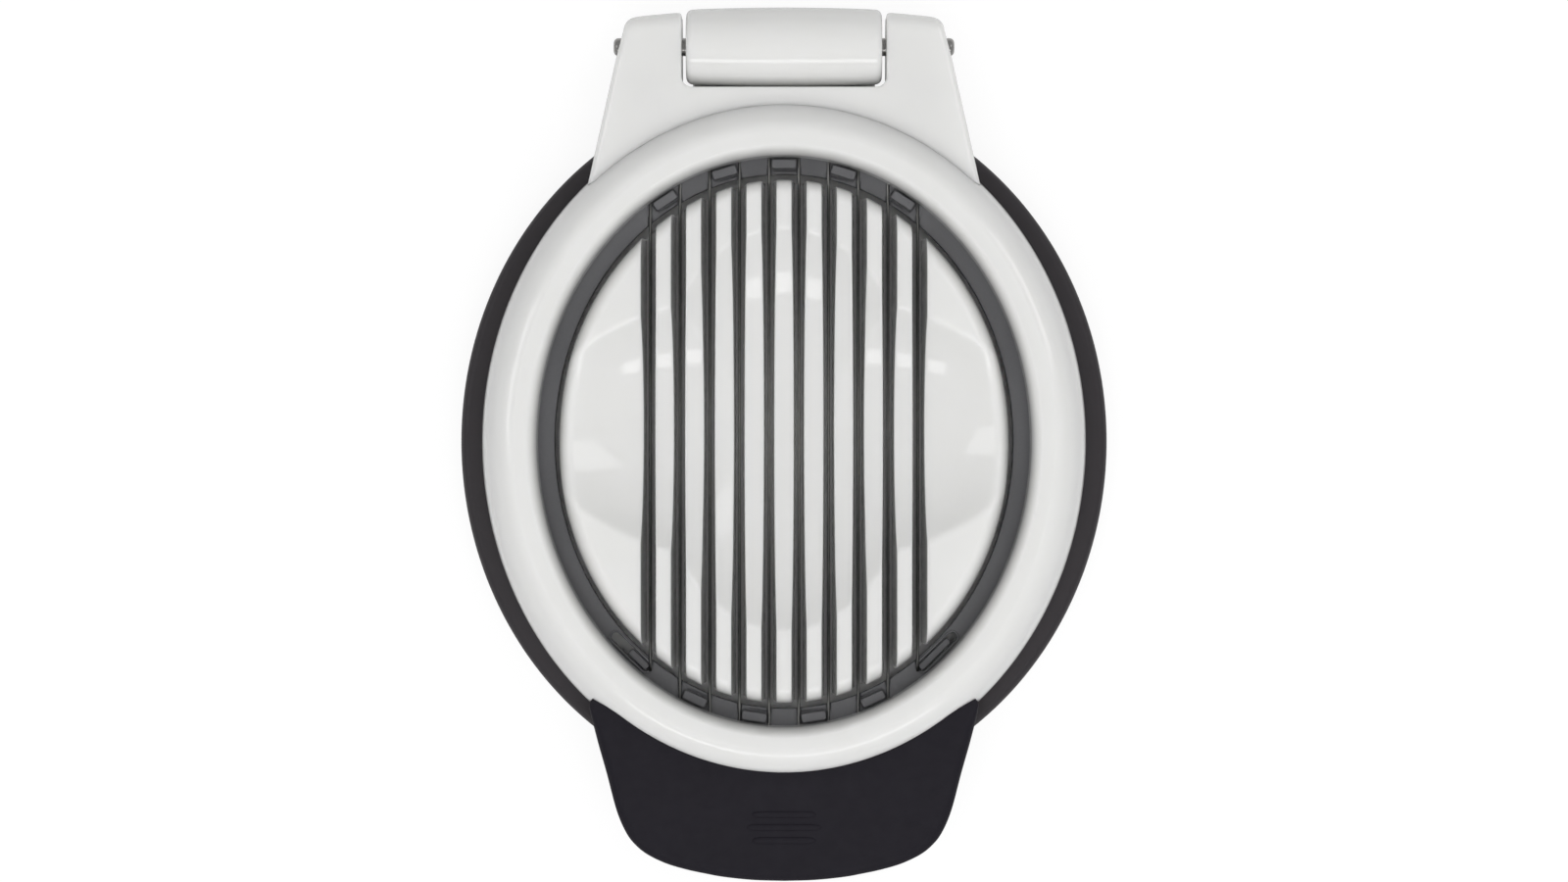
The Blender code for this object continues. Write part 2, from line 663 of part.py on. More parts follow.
def plate_outline():
    """Plan of the hinge plate: tapered sides, two ears and the gap for the barrel between them."""
    ear_back = HINGE_Y + EAR_BACK
    corner = (PLATE_BACK_HALF_WIDTH - EAR_CORNER, ear_back - EAR_CORNER)
    gap_corner = (EAR_INNER_X - WEB_CORNER, WEB_BACK_Y + WEB_CORNER)
    right = [
        (PLATE_FRONT_HALF_WIDTH, plate_front_y()),
        (PLATE_BACK_HALF_WIDTH, PLATE_SHOULDER_Y),
        *arc(corner, EAR_CORNER, 15, 90, 5),
        (EAR_INNER_X, ear_back),
        *arc(gap_corner, WEB_CORNER, 0, -90, 4),
    ]
    return mirrored(right)


def plate_side():
    """Side view of the hinge plate: a flat slab with a rounded back."""
    back = HINGE_Y + EAR_BACK
    front = plate_front_y() - 0.002
    return [
        (front, RING_BOTTOM),
        *arc((back - EAR_LOW_ROUND, RING_BOTTOM + EAR_LOW_ROUND), EAR_LOW_ROUND, -90, 0, 6),
        *arc((back - EAR_TOP_ROUND, PLATE_TOP - EAR_TOP_ROUND), EAR_TOP_ROUND, 0, 90, 4),
        (front, PLATE_TOP),
    ]


def hinge_plate():
    """The slab that is common to the plan and to the side view."""
    plan = prism("hinge_plate", plate_outline(), RING_BOTTOM - 0.001, PLATE_TOP + 0.001)
    reach = PLATE_FRONT_HALF_WIDTH + 0.001
    side = prism("plate_side", plate_side(), -reach, reach, SIDEWAYS)
    return combined(plan, "INTERSECT", side)


def grip_tip_y():
    """How far in front of the plan centre the grip's two tips are."""
    return oval_y(RING_OUTER, GRIP_TIP_X) - GRIP_TIP_OVERLAP


def grip_outline(inside):
    """Plan of the grip: an arc along the ring, then straight sides and a rounded end.

    `inside` moves the arc away from the ring."""
    apex = RING_FRONT - GRIP_COVERS
    rise = apex - grip_tip_y()
    radius = (GRIP_TIP_X**2 + rise**2) / (2 * rise)
    center_y = radius - apex
    radius += inside
    tip_angle = math.degrees(math.acos(GRIP_TIP_X / radius))
    against_ring = arc((0, center_y), radius, 180 + tip_angle, 360 - tip_angle, 24)
    steps = 6
    corner = []
    end = []
    for x, y in arc((0, 0), 1, 0, 90, steps):
        side = GRIP_END_X + (GRIP_MID_X - GRIP_END_X) * x
        corner.append((side, -GRIP_MID_Y - (GRIP_END_Y - GRIP_MID_Y) * y))
    for i, (_, y) in enumerate(arc((0, 0), 1, 0, 90, steps)):
        end.append((GRIP_END_X * (1 - i / steps), -GRIP_END_Y - GRIP_END_BOW * y))
    right = [(GRIP_TIP_X, -grip_tip_y()), *corner, *end[1:]]
    left = [(-x, y) for x, y in reversed(right[:-1])]
    return against_ring[1:-1] + right + left


def tongue_mesh(name, grow):
    """The frame's tongue, which the grip is moulded round, grown by a clearance."""
    half = TONGUE_HALF_WIDTH + grow
    end = -TONGUE_END_Y - grow
    corner = TONGUE_CORNER + grow
    right = [*arc((half - corner, end + corner), corner, -90, 0, 5), (half, -0.0500)]
    return prism(name, mirrored(right), TONGUE_BOTTOM - grow, TONGUE_TOP + grow)


def grip_room():
    """The space that the grip takes from the ring's front edge."""
    return prism("grip_room", grip_outline(0), 0, RING_TOP + 0.01)


def outside_channel(mesh):
    """The mesh without what reaches inside the ring's outer skirt, where the wire carrier lies."""
    edge = CHANNEL_OUTER + GAP
    high = RING_TOP + 0.01
    room = oval_turned("channel_room", [(0, high), (edge, high), (edge, 0), (0, 0)], False)
    return combined(mesh, "DIFFERENCE", room)


def make_arm_frame():
    """The white ring, hinge plate, ears and tongue, in one moulding."""
    frame = piece("arm_frame", oval_turned("arm_frame", ring_profile()), PIVOT, WHITE_ABS)
    cut(frame, "grip_room", grip_room())
    join(frame, "tongue", outside_channel(tongue_mesh("tongue", 0)))
    join(frame, "hinge_plate", outside_channel(hinge_plate()))
    places = carrier_screw_places()
    top = RING_TOP - RING_WALL
    bosses = [((x, y, CARRIER_TOP + GAP), (x, y, top)) for x, y in places]
    join(frame, "carrier_bosses", rods("carrier_bosses", bosses, CARRIER_BOSS_RADIUS, SCREW_FACETS))
    pilots = [((x, y, CARRIER_TOP), (x, y, CARRIER_SCREW_TIP + GAP)) for x, y in places]
    cut(frame, "carrier_pilots", rods("carrier_pilots", pilots, CARRIER_SCREW_RADIUS + GAP, SCREW_FACETS))
    cut(frame, "ear_bores", rods("ear_bores", [pin_line(0.002)], PIN_RADIUS + GAP))
    for side in (-1, 1):
        start = EAR_INNER_X - 0.001
        groove = stop_sector("stop_groove", side, OPEN_ANGLE, STOP_SLACK, start, groove_depth())
        cut(frame, f"stop_groove_{side}", groove)
        wall = EAR_INNER_X + EAR_WALL
        inner, outer = sorted((side * wall, side * (wall + EAR_POCKET_WIDTH)))
        low = (inner, HINGE_Y - EAR_POCKET_FRONT, RING_BOTTOM - 0.001)
        high = (outer, HINGE_Y - EAR_POCKET_BACK, PLATE_TOP - RING_WALL)
        cut(frame, f"ear_pocket_{side}", boxes("ear_pocket", [(low, high)]))


def groove_depth():
    """How deep the ear's stop groove goes, counted from 1 mm before the ear's face."""
    lug_end = BARREL_HALF_LENGTH + STOP_HEIGHT
    return lug_end + GAP - (EAR_INNER_X - 0.001)


def carrier_screw_places():
    turn = 360 / CARRIER_SCREW_COUNT
    points = (on_oval(CARRIER_SCREW_PLACE, i * turn) for i in range(CARRIER_SCREW_COUNT))
    return [(point.x, point.y) for point in points]


def make_arm_grip():
    """The soft grip, moulded over the tongue, with a top that falls towards its front end."""
    mesh = prism("arm_grip", grip_outline(GAP), GRIP_BOTTOM, GRIP_TOP_AT_RING)
    fall = GRIP_FALL / (GRIP_END - grip_tip_y())
    for vertex in mesh.vertices:
        if vertex.co.z > (GRIP_BOTTOM + GRIP_TOP_AT_RING) / 2:
            vertex.co.z += fall * (vertex.co.y + grip_tip_y())
    grip = piece("arm_grip", bevelled(mesh, GRIP_EDGE, angle=60), PIVOT, DARK_TPE)
    cut(grip, "tongue_room", tongue_mesh("tongue_room", GAP))


def lock_slot(side):
    """Centre, tangent and inward end of the slot where one end of the wire is locked."""
    x = POST_PLACE * math.cos(LOCK_SLOT_ANGLE)
    y = (POST_PLACE + stretch(POST_PLACE)) * math.sin(LOCK_SLOT_ANGLE)
    across = POST_PLACE * math.sin(LOCK_SLOT_ANGLE)
    along = (POST_PLACE + stretch(POST_PLACE)) * math.cos(LOCK_SLOT_ANGLE)
    return Vector((side * x, -y, 0)), Vector((-side * across, -along, 0)).normalized()


def slot_prism(name, center, tangent, length, width, low, high):
    """A round-ended bar that lies along the tangent."""
    half = width / 2
    straight = length / 2 - half
    outline = arc((straight, 0), half, -90, 90, 6) + arc((-straight, 0), half, 90, 270, 6)
    turn = Matrix.Rotation(math.atan2(tangent.y, tangent.x), 4, "Z")
    return prism(name, outline, low, high, Matrix.Translation(center) @ turn)


def post_places():
    """Centre and heading of each post: five at the back and four at the front."""
    places = []
    for side, first in ((1, 0), (-1, 1)):
        for index in range(first, WIRE_COUNT - 1, 2):
            x = (strand_x(index) + strand_x(index + 1)) / 2
            y = side * oval_y(POST_PLACE, x)
            slope = -side * (oval_y(POST_PLACE, x + 1e-4) - oval_y(POST_PLACE, x - 1e-4)) / 2e-4
            places.append((Vector((x, y, 0)), -math.atan(slope)))
    return places


def make_wire_carrier():
    """The grey ring in the arm's channel, with the posts that the wire is laced round."""
    profile = [
        (CARRIER_BODY_INNER, CARRIER_TOP),
        (CARRIER_OUTER, CARRIER_TOP),
        (CARRIER_OUTER, CARRIER_BOTTOM),
        (CARRIER_INNER, CARRIER_BOTTOM),
        (CARRIER_INNER, CARRIER_FLANGE_TOP),
        (CARRIER_BODY_INNER, CARRIER_FLANGE_TOP),
    ]
    carrier = piece("wire_carrier", oval_turned("wire_carrier", profile), PIVOT, GREY_NYLON)
    bm = bmesh.new()
    height = POST_TOP - CARRIER_FLANGE_TOP + 0.0005
    for center, heading in post_places():
        middle = Vector((center.x, center.y, POST_TOP - height / 2))
        at_post = Matrix.Translation(middle) @ Matrix.Rotation(heading, 4, "Z")
        size = Matrix.Diagonal((POST_WIDTH, POST_DEPTH, height, 1))
        bmesh.ops.create_cube(bm, size=1, matrix=at_post @ size)
    join(carrier, "posts", finished("posts", bm))
    for side in (-1, 1):
        center, tangent = lock_slot(side)
        size = (LOCK_SLOT_LENGTH, LOCK_SLOT_WIDTH)
        mesh = slot_prism("lock_slot", center, tangent, *size, 0, CARRIER_FLANGE_TOP + 0.001)
        cut(carrier, f"lock_slot_{side}", mesh)
    seat_top = CARRIER_BOTTOM + GAP + CARRIER_SCREW_HEAD_HEIGHT
    hole = [
        (0, CARRIER_TOP + 0.001),
        (CARRIER_SCREW_RADIUS + GAP, CARRIER_TOP + 0.001),
        (CARRIER_SCREW_RADIUS + GAP, seat_top),
        (CARRIER_SCREW_HEAD + GAP, seat_top),
        (CARRIER_SCREW_HEAD + GAP, 0),
        (0, 0),
    ]
    cut(carrier, "screw_holes", repeated("screw_holes", hole, carrier_screw_places(), SCREW_FACETS))


def make_carrier_screws():
    make_screws(
        "carrier_screw",
        PIVOT,
        carrier_screw_places(),
        CARRIER_SCREW_RADIUS,
        CARRIER_SCREW_HEAD,
        CARRIER_BOTTOM,
        CARRIER_SCREW_HEAD_HEIGHT,
        CARRIER_SCREW_TIP,
    )


def make_strands():
    """The ten straight stretches of the wire, which cut the egg."""
    for index in range(WIRE_COUNT):
        x = strand_x(index)
        back = oval_y(STRAND_PLACE, x)
        front = -back
        if index in (0, WIRE_COUNT - 1):
            front = -oval_y(POST_PLACE, x)
        ends = [((x, front, WIRE_HEIGHT), (x, back, WIRE_HEIGHT))]
        name = f"wire_strand_{index + 1:02d}"
        piece(name, rods(name, ends, WIRE_RADIUS, WIRE_FACETS), PIVOT, STEEL)


def make_loop(name, side, start, end):
    """One bend behind a post, from the end of one strand to the end of the next."""
    curve = bpy.data.curves.new(name, "CURVE")
    curve.dimensions = "3D"
    curve.bevel_depth = WIRE_RADIUS
    curve.bevel_resolution = 2
    curve.use_fill_caps = True
    spline = curve.splines.new("POLY")
    spline.points.add(LOOP_POINTS)
    start_y = oval_y(STRAND_PLACE, start) + GAP
    end_y = oval_y(STRAND_PLACE, end) + GAP
    for i, point in enumerate(spline.points):
        turn = math.pi * i / LOOP_POINTS
        share = (1 - math.cos(turn)) / 2
        y = start_y + (end_y - start_y) * share + LOOP_DEPTH * math.sin(turn)
        point.co = (start + (end - start) * share, side * y, WIRE_HEIGHT, 1)
    piece(name, baked(bpy.data.objects.new(name, curve)), PIVOT, STEEL)


def make_loops():
    """The bends behind the posts, which join each strand to the next."""
    for side_name, side, first in (("back", 1, 0), ("front", -1, 1)):
        for number, index in enumerate(range(first, WIRE_COUNT - 1, 2), 1):
            name = f"wire_loop_{side_name}_{number}"
            make_loop(name, side, strand_x(index), strand_x(index + 1))


def make_wire_locks():
    """The two plugs that hold the wire's ends in their slots."""
    bottom = CARRIER_BOTTOM + GAP
    for name, side, length in (
        ("wire_lock_left", -1, LEFT_LOCK_LENGTH),
        ("wire_lock_right", 1, RIGHT_LOCK_LENGTH),
    ):
        center, tangent = lock_slot(side)
        outer_end = center - tangent * (LOCK_SLOT_LENGTH / 2 - GAP - length / 2)
        width = LOCK_SLOT_WIDTH - 2 * GAP
        mesh = slot_prism(name, outer_end, tangent, length, width, bottom, CARRIER_FLANGE_TOP)
        piece(name, mesh, PIVOT, GREY_NYLON)


make_base_body()
make_soft_ring()
make_egg_tray()
make_tray_screws()
make_hinge_pin()
make_arm_frame()
make_arm_grip()
make_wire_carrier()
make_carrier_screws()
make_strands()
make_loops()
make_wire_locks()
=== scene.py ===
# %% [markdown]
# # An egg slicer, built on its CAD frame
# The slicer is two moving halves. The base is a white pan in a soft ring, with a slotted
# tray for the egg and a hinge barrel at the back. The arm is a white ring with a dark grip, and
# carries one long wire laced to and fro through a grey carrier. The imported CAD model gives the
# places and the hinge. This lesson rebuilds each visible piece as a fine surface.

# %% Load the frame
import math

import bmesh
import bpy
import numpy as np
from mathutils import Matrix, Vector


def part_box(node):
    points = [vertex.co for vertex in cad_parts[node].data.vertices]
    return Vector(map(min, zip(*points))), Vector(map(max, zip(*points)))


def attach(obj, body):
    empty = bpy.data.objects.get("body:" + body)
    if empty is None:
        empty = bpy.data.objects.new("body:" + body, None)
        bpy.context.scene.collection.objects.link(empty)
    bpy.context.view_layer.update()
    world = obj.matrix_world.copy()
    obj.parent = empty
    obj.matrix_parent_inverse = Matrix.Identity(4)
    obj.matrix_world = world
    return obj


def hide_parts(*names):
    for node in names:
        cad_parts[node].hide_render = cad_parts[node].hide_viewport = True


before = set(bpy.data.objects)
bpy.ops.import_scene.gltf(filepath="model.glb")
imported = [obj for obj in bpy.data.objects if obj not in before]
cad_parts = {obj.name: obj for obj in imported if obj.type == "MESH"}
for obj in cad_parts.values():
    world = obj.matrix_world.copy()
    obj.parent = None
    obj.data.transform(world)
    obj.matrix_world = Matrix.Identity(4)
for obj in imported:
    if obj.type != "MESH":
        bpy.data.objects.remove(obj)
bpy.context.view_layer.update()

# %% [markdown]
# ## Sizes
# All sizes are in millimetres, measured from the plan centre, the middle of the oval ring. The
# boxes of the CAD pieces give the ones that other pieces depend on, so the fine pieces stay in step.
# Every oval is longer than it is wide by the same stretch, as the real ring's edges run parallel.

# %% Read the main sizes from the CAD boxes
MM = 0.001


def box_mm(node):
    return np.array(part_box(node)) / MM


tray_low, tray_high = box_mm("egg_tray")
PLAN_Y = (tray_low[1] + tray_high[1]) / 2
TRAY_X = tray_high[0]
TRAY_Y = tray_high[1] - PLAN_Y
TRAY_BOTTOM, TRAY_TOP = tray_low[2], tray_high[2]
soft_low, soft_high = box_mm("nonslip_ring")
BASE_OUTER = soft_high[0]
BASE_STRETCH = PLAN_Y - soft_low[1] - BASE_OUTER
SOFT_TOP = soft_high[2]
arm_low, arm_high = box_mm("arm_frame")
RING_TOP = arm_high[2]
RING_BOTTOM = arm_low[2]
EAR_BACK = arm_high[1] - PLAN_Y
carrier_low, carrier_high = box_mm("wire_carrier")
CARRIER_BOTTOM, CARRIER_TOP = carrier_low[2], carrier_high[2]
grip_low, grip_high = box_mm("arm_grip")
GRIP_END = PLAN_Y - grip_low[1]
GRIP_BOTTOM, GRIP_TOP = grip_low[2], grip_high[2]
pin_low, pin_high = box_mm("hinge_pin")
PIN_RADIUS = (pin_high[2] - pin_low[2]) / 2
HINGE_Y = (pin_high[1] + pin_low[1]) / 2 - PLAN_Y
HINGE_Z = (pin_high[2] + pin_low[2]) / 2
PIN_END = pin_high[0]
RING_INNER = 41.2
RING_OUTER = 50.6
OVAL_STRETCH = 6.4
print(f"plan centre at y {PLAN_Y:.2f}, hinge at y {HINGE_Y:.2f} and z {HINGE_Z:.2f}")

# %% [markdown]
# ## Surfaces from grids
# A moulding's surface is a function of two parameters. One walks round the piece and the other
# walks round its section, so a piece is a grid of points. Working on whole arrays keeps that short:
# the grid is made at once, and the faces join each point to its neighbours.

# %% Grids and meshes


def quads(rows, cols, wrap_rows):
    """Faces of a grid whose columns close on themselves: each joins a point, its next one and
    the same two of the next row."""
    row, col = np.meshgrid(np.arange(rows if wrap_rows else rows - 1), np.arange(cols), indexing="ij")
    next_row, next_col = (row + 1) % rows, (col + 1) % cols
    corners = (row * cols + col, row * cols + next_col, next_row * cols + next_col, next_row * cols + col)
    return np.stack(corners, axis=-1).reshape(-1, 4)


def shell(grid, wrap_rows=False):
    """Points and faces of a closed surface. A grid that doesn't close gets a cap at each end."""
    rows, cols = grid.shape[:2]
    faces = quads(rows, cols, wrap_rows).tolist()
    if not wrap_rows:
        last = (rows - 1) * cols
        faces += [list(range(cols))[::-1], list(range(last, last + cols))]
    return grid.reshape(-1, 3), faces


def mesh_from(name, shells):
    """One mesh from several closed surfaces, moved from the plan centre to its place in metres."""
    points = np.concatenate([part for part, _ in shells])
    starts = np.cumsum([0] + [len(part) for part, _ in shells[:-1]])
    faces = [[start + i for i in face] for start, (_, part) in zip(starts.tolist(), shells) for face in part]
    mesh = bpy.data.meshes.new(name)
    mesh.from_pydata(((points + (0, PLAN_Y, 0)) * MM).tolist(), [], faces)
    bm = bmesh.new()
    bm.from_mesh(mesh)
    bmesh.ops.remove_doubles(bm, verts=bm.verts, dist=2e-7)
    bmesh.ops.dissolve_degenerate(bm, edges=bm.edges, dist=2e-7)
    bmesh.ops.recalc_face_normals(bm, faces=bm.faces)
    bm.to_mesh(mesh)
    bm.free()
    mesh.shade_smooth()
    return mesh


def carve(mesh, cutter):
    """The mesh less the cutter, by an exact Boolean."""
    body = bpy.data.objects.new("carve_body", mesh)
    tool = bpy.data.objects.new("carve_tool", cutter)
    for obj in (body, tool):
        bpy.context.collection.objects.link(obj)
    cut = body.modifiers.new("cut", "BOOLEAN")
    cut.operation = "DIFFERENCE"
    cut.object = tool
    graph = bpy.context.evaluated_depsgraph_get()
    result = bpy.data.meshes.new_from_object(body.evaluated_get(graph))
    for obj in (body, tool):
        bpy.data.objects.remove(obj)
    return result


def add_piece(name, mesh, material, body, nodes=()):
    """Puts a mesh in the scene as a piece of the object that rides on a body and hides its CAD."""
    obj = bpy.data.objects.new(name, mesh)
    bpy.context.collection.objects.link(obj)
    mesh.materials.clear()
    mesh.materials.append(material)
    even = obj.modifiers.new("even_normals", "WEIGHTED_NORMAL")
    even.keep_sharp = True
    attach(obj, body)
    if nodes:
        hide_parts(*nodes)
    print(f"{name}: {len(mesh.polygons)} faces on {body}")
    return obj


print("a closed grid of 3 by 4 points has", len(quads(3, 4, True)), "faces")

# %% Ovals, outlines and sections


def stretch(radius):
    """How much longer than wide an oval's half is. It shrinks evenly over the soft ring."""
    beyond = np.clip((radius - RING_OUTER) / (BASE_OUTER - RING_OUTER), 0, None)
    return OVAL_STRETCH + beyond * (BASE_STRETCH - OVAL_STRETCH)


def oval(radius, angle, z):
    """x is the radius times the cosine, and y the radius and its stretch times the sine."""
    x = radius * np.cos(angle)
    y = (radius + stretch(radius)) * np.sin(angle)
    return np.stack(np.broadcast_arrays(x, y, z), axis=-1)


def oval_y(radius, x):
    return (radius + stretch(radius)) * np.sqrt(np.clip(1 - (x / radius) ** 2, 0, None))


def sweep(section, count=240):
    """Carries a closed section of (radius, z) points round the oval."""
    angle = np.linspace(0, 2 * math.pi, count, endpoint=False)[:, None]
    return oval(section[None, :, 0], angle, section[None, :, 1])


def rounded(corners, steps=6):
    """A closed outline of (x, y, radius) corners. Each corner becomes a true arc: a quadratic
    curve whose middle point is weighted by the sine of half the corner's angle."""
    data = np.array(corners, float)
    point, radius = data[:, :2], data[:, 2]
    before, after = np.roll(point, 1, 0) - point, np.roll(point, -1, 0) - point
    before_length, after_length = np.linalg.norm(before, axis=1), np.linalg.norm(after, axis=1)
    cosine = (before * after).sum(1) / (before_length * after_length)
    half = np.arccos(np.clip(cosine, -1, 1)) / 2
    reach = np.minimum(radius / np.tan(half), 0.48 * np.minimum(before_length, after_length))
    start = point + before * (reach / before_length)[:, None]
    end = point + after * (reach / after_length)[:, None]
    t = np.linspace(0, 1, steps + 1)[None, :, None]
    first, last = (1 - t) ** 2, t**2
    middle = 2 * t * (1 - t) * np.sin(half)[:, None, None]
    arcs = (first * start[:, None] + middle * point[:, None] + last * end[:, None]) / (first + middle + last)
    return arcs.reshape(-1, 2)


def curve_through(points, steps=6):
    """A smooth line through the points. Between two of them it is a cubic whose slope at each
    point is half the step from the point before it to the point after it."""
    data = np.array(points, float)
    ends = np.concatenate((2 * data[:1] - data[1:2], data, 2 * data[-1:] - data[-2:-1]))
    a, b, c, d = ends[:-3, None], ends[1:-2, None], ends[2:-1, None], ends[3:, None]
    t = np.linspace(0, 1, steps, endpoint=False)[None, :, None]
    line = b + 0.5 * t * ((c - a) + t * ((2 * a - 5 * b + 4 * c - d) + t * (3 * (b - c) + d - a)))
    return np.concatenate((line.reshape(-1, 2), data[-1:]))


def bend(center, radius, first, last, count):
    """Points of an arc, from angle `first` to `last` in degrees. The radius may be a pair."""
    angle = np.radians(np.linspace(first, last, count))
    return np.array(center) + np.stack((np.cos(angle), np.sin(angle)), axis=1) * np.array(radius)


def slab(outline, low, high, low_round, high_round, steps=5):
    """A flat piece with rounded edges. Each level is the outline, drawn in along its normals by
    the round's radius less its cosine. The rounds may differ from point to point."""
    along = np.roll(outline, -1, 0) - np.roll(outline, 1, 0)
    normal = np.stack((along[:, 1], -along[:, 0]), axis=1)
    normal /= np.linalg.norm(normal, axis=1, keepdims=True)
    area = np.sum(outline[:, 0] * np.roll(outline[:, 1], -1) - outline[:, 1] * np.roll(outline[:, 0], -1))
    normal *= np.sign(area)
    turn = np.radians(np.linspace(0, 90, steps + 1))[:, None]
    low_round = np.broadcast_to(low_round, len(outline))[None]
    high_round = np.broadcast_to(high_round, len(outline))[None]
    inset = np.concatenate((low_round * (1 - np.sin(turn)), high_round * (1 - np.cos(turn))))
    z = np.concatenate((low + low_round * (1 - np.cos(turn)), high - high_round * (1 - np.sin(turn))))
    flat = outline[None] - normal[None] * inset[..., None]
    return np.concatenate((flat, z[..., None]), axis=-1)


def tile(center, heading, size, low, high, edge):
    """A small block with rounded edges, turned by its heading in radians."""
    half_x, half_y = size[0] / 2, size[1] / 2
    corners = [(-half_x, -half_y), (half_x, -half_y), (half_x, half_y), (-half_x, half_y)]
    flat = rounded([(*corner, edge) for corner in corners], 4)
    cosine, sine = math.cos(heading), math.sin(heading)
    outline = flat @ np.array([[cosine, sine], [-sine, cosine]]) + np.array(center)
    return slab(outline, low, high, 0.04, min(edge, 0.25), 3)


def rim(outline, width, low, high, edge=0.2):
    """A wall that stands along a closed outline: its rounded section's (out, z) points, carried
    along the outline's normals."""
    along = np.roll(outline, -1, 0) - np.roll(outline, 1, 0)
    normal = np.stack((along[:, 1], -along[:, 0]), axis=1)
    normal /= np.linalg.norm(normal, axis=1, keepdims=True)
    section = rounded([(0, low, 0.02), (width, low, 0.02), (width, high, edge), (0, high, edge)], 4)
    flat = outline[:, None] + normal[:, None] * section[None, :, :1]
    return np.concatenate((flat, np.broadcast_to(section[None, :, 1:], (*flat.shape[:2], 1))), axis=-1)


def turned(section, place, axis="z", count=48):
    """A section of (radius, height) points turned about a line through `place`."""
    angle = np.linspace(0, 2 * math.pi, count, endpoint=False)[None, :]
    around = section[:, 0, None] * np.cos(angle), section[:, 0, None] * np.sin(angle)
    height = np.broadcast_to(section[:, 1, None], around[0].shape)
    parts = (*around, height) if axis == "z" else (height, *around)
    return np.stack(parts, axis=-1) + np.array(place)


print("a rounded square has", len(rounded([(0, 0, 1), (4, 0, 1), (4, 4, 1), (0, 4, 1)])), "points")

# %% [markdown]
# ## Materials
# A moulding shows its plastic: the white one is polished ABS, the dark one a soft TPE with a matte
# spark-eroded skin, and the grey one a filled nylon. Each material is a Principled shader whose
# roughness and bump come from noise at a real size. One function turns a colour that is written as
# on screen into the linear one that Blender wants, and one adds a node.

# %% Colours and nodes


def colour(text):
    """A six-digit sRGB colour as linear red, green, blue and alpha."""
    value = np.array([int(text[i : i + 2], 16) for i in (0, 2, 4)]) / 255
    linear = np.where(value <= 0.04045, value / 12.92, ((value + 0.055) / 1.055) ** 2.4)
    return (*linear.tolist(), 1.0)


def add_node(tree, kind, inputs=None, **settings):
    """Adds a node with its settings. An input takes a value or another node's output."""
    node = tree.nodes.new(kind)
    for name, value in settings.items():
        setattr(node, name, value)
    for name, value in (inputs or {}).items():
        if isinstance(value, bpy.types.NodeSocket):
            tree.links.new(value, node.inputs[name])
        else:
            node.inputs[name].default_value = value
    return node


def new_material(name, **values):
    """A named material, its node tree and its Principled shader with the given input values."""
    material = bpy.data.materials.new(name)
    material.use_nodes = True
    shader = material.node_tree.nodes["Principled BSDF"]
    for key, value in values.items():
        shader.inputs[key.replace("_", " ")].default_value = value
    print("material", name)
    return material, material.node_tree, shader


def grain(tree, size_mm, detail=2.0, stretch_by=(1, 1, 1)):
    """Noise on Object coordinates whose features are about `size_mm` across."""
    place = add_node(tree, "ShaderNodeTexCoord").outputs["Object"]
    scale = tuple(s / (size_mm * MM) for s in stretch_by)
    mapped = add_node(tree, "ShaderNodeMapping", {"Vector": place, "Scale": scale})
    return add_node(
        tree, "ShaderNodeTexNoise", {"Vector": mapped.outputs["Vector"], "Scale": 1.0, "Detail": detail}
    )


def vary(tree, shader, noise, socket, low, high):
    """Lets the noise move one of the shader's inputs between two values."""
    spread = add_node(
        tree,
        "ShaderNodeMapRange",
        {"Value": noise.outputs["Fac"], "From Min": 0.3, "From Max": 0.7, "To Min": low, "To Max": high},
    )
    tree.links.new(spread.outputs["Result"], shader.inputs[socket])


def tint(tree, shader, noise, first, second):
    """Lets the noise mix the shader's colour from two close ones."""
    mix = add_node(tree, "ShaderNodeMix", {"Factor": noise.outputs["Fac"]}, data_type="RGBA")
    mix.inputs[6].default_value = colour(first)
    mix.inputs[7].default_value = colour(second)
    tree.links.new(mix.outputs[2], shader.inputs["Base Color"])


def emboss(tree, shader, noise, height_mm, strength):
    """Raises the surface by the noise, without moving it."""
    bump = add_node(
        tree,
        "ShaderNodeBump",
        {"Height": noise.outputs["Fac"], "Distance": height_mm * MM, "Strength": strength},
    )
    tree.links.new(bump.outputs["Normal"], shader.inputs["Normal"])


print("mid grey 808080 is", round(colour("808080")[0], 3), "linear")

# %% White ABS
# Injection moulded in a polished steel mould: glossy, with a faint waviness from cooling about
# 3 mm across, and tiny scuffs that change the gloss. Light enters it a few millimetres deep, so
# its edges and creases look soft.
WHITE_ABS, tree, shader = new_material(
    "moulded_abs_white", IOR=1.54, Subsurface_Weight=0.8, Subsurface_Scale=0.0035
)
shader.inputs["Subsurface Radius"].default_value = (1.0, 1.0, 0.97)
tint(tree, shader, grain(tree, 9.0), "E7E7E5", "EAEAE9")
vary(tree, shader, grain(tree, 1.2, 4.0), "Roughness", 0.05, 0.1)
emboss(tree, shader, grain(tree, 3.0), 0.006, 0.3)

# %% Dark TPE
# Moulded over the ABS in a spark-eroded mould: soft to the touch, so it scatters light from a
# grain about 0.25 mm across, drawn here at 0.35 mm so that it shows.
DARK_TPE, tree, shader = new_material("moulded_tpe_charcoal", Roughness=0.55, IOR=1.5)
tint(tree, shader, grain(tree, 5.0), "1C1A20", "201E25")
shader.inputs["Specular IOR Level"].default_value = 0.14
vary(tree, shader, grain(tree, 2.0, 3.0), "Roughness", 0.48, 0.62)
emboss(tree, shader, grain(tree, 0.35), 0.03, 0.45)

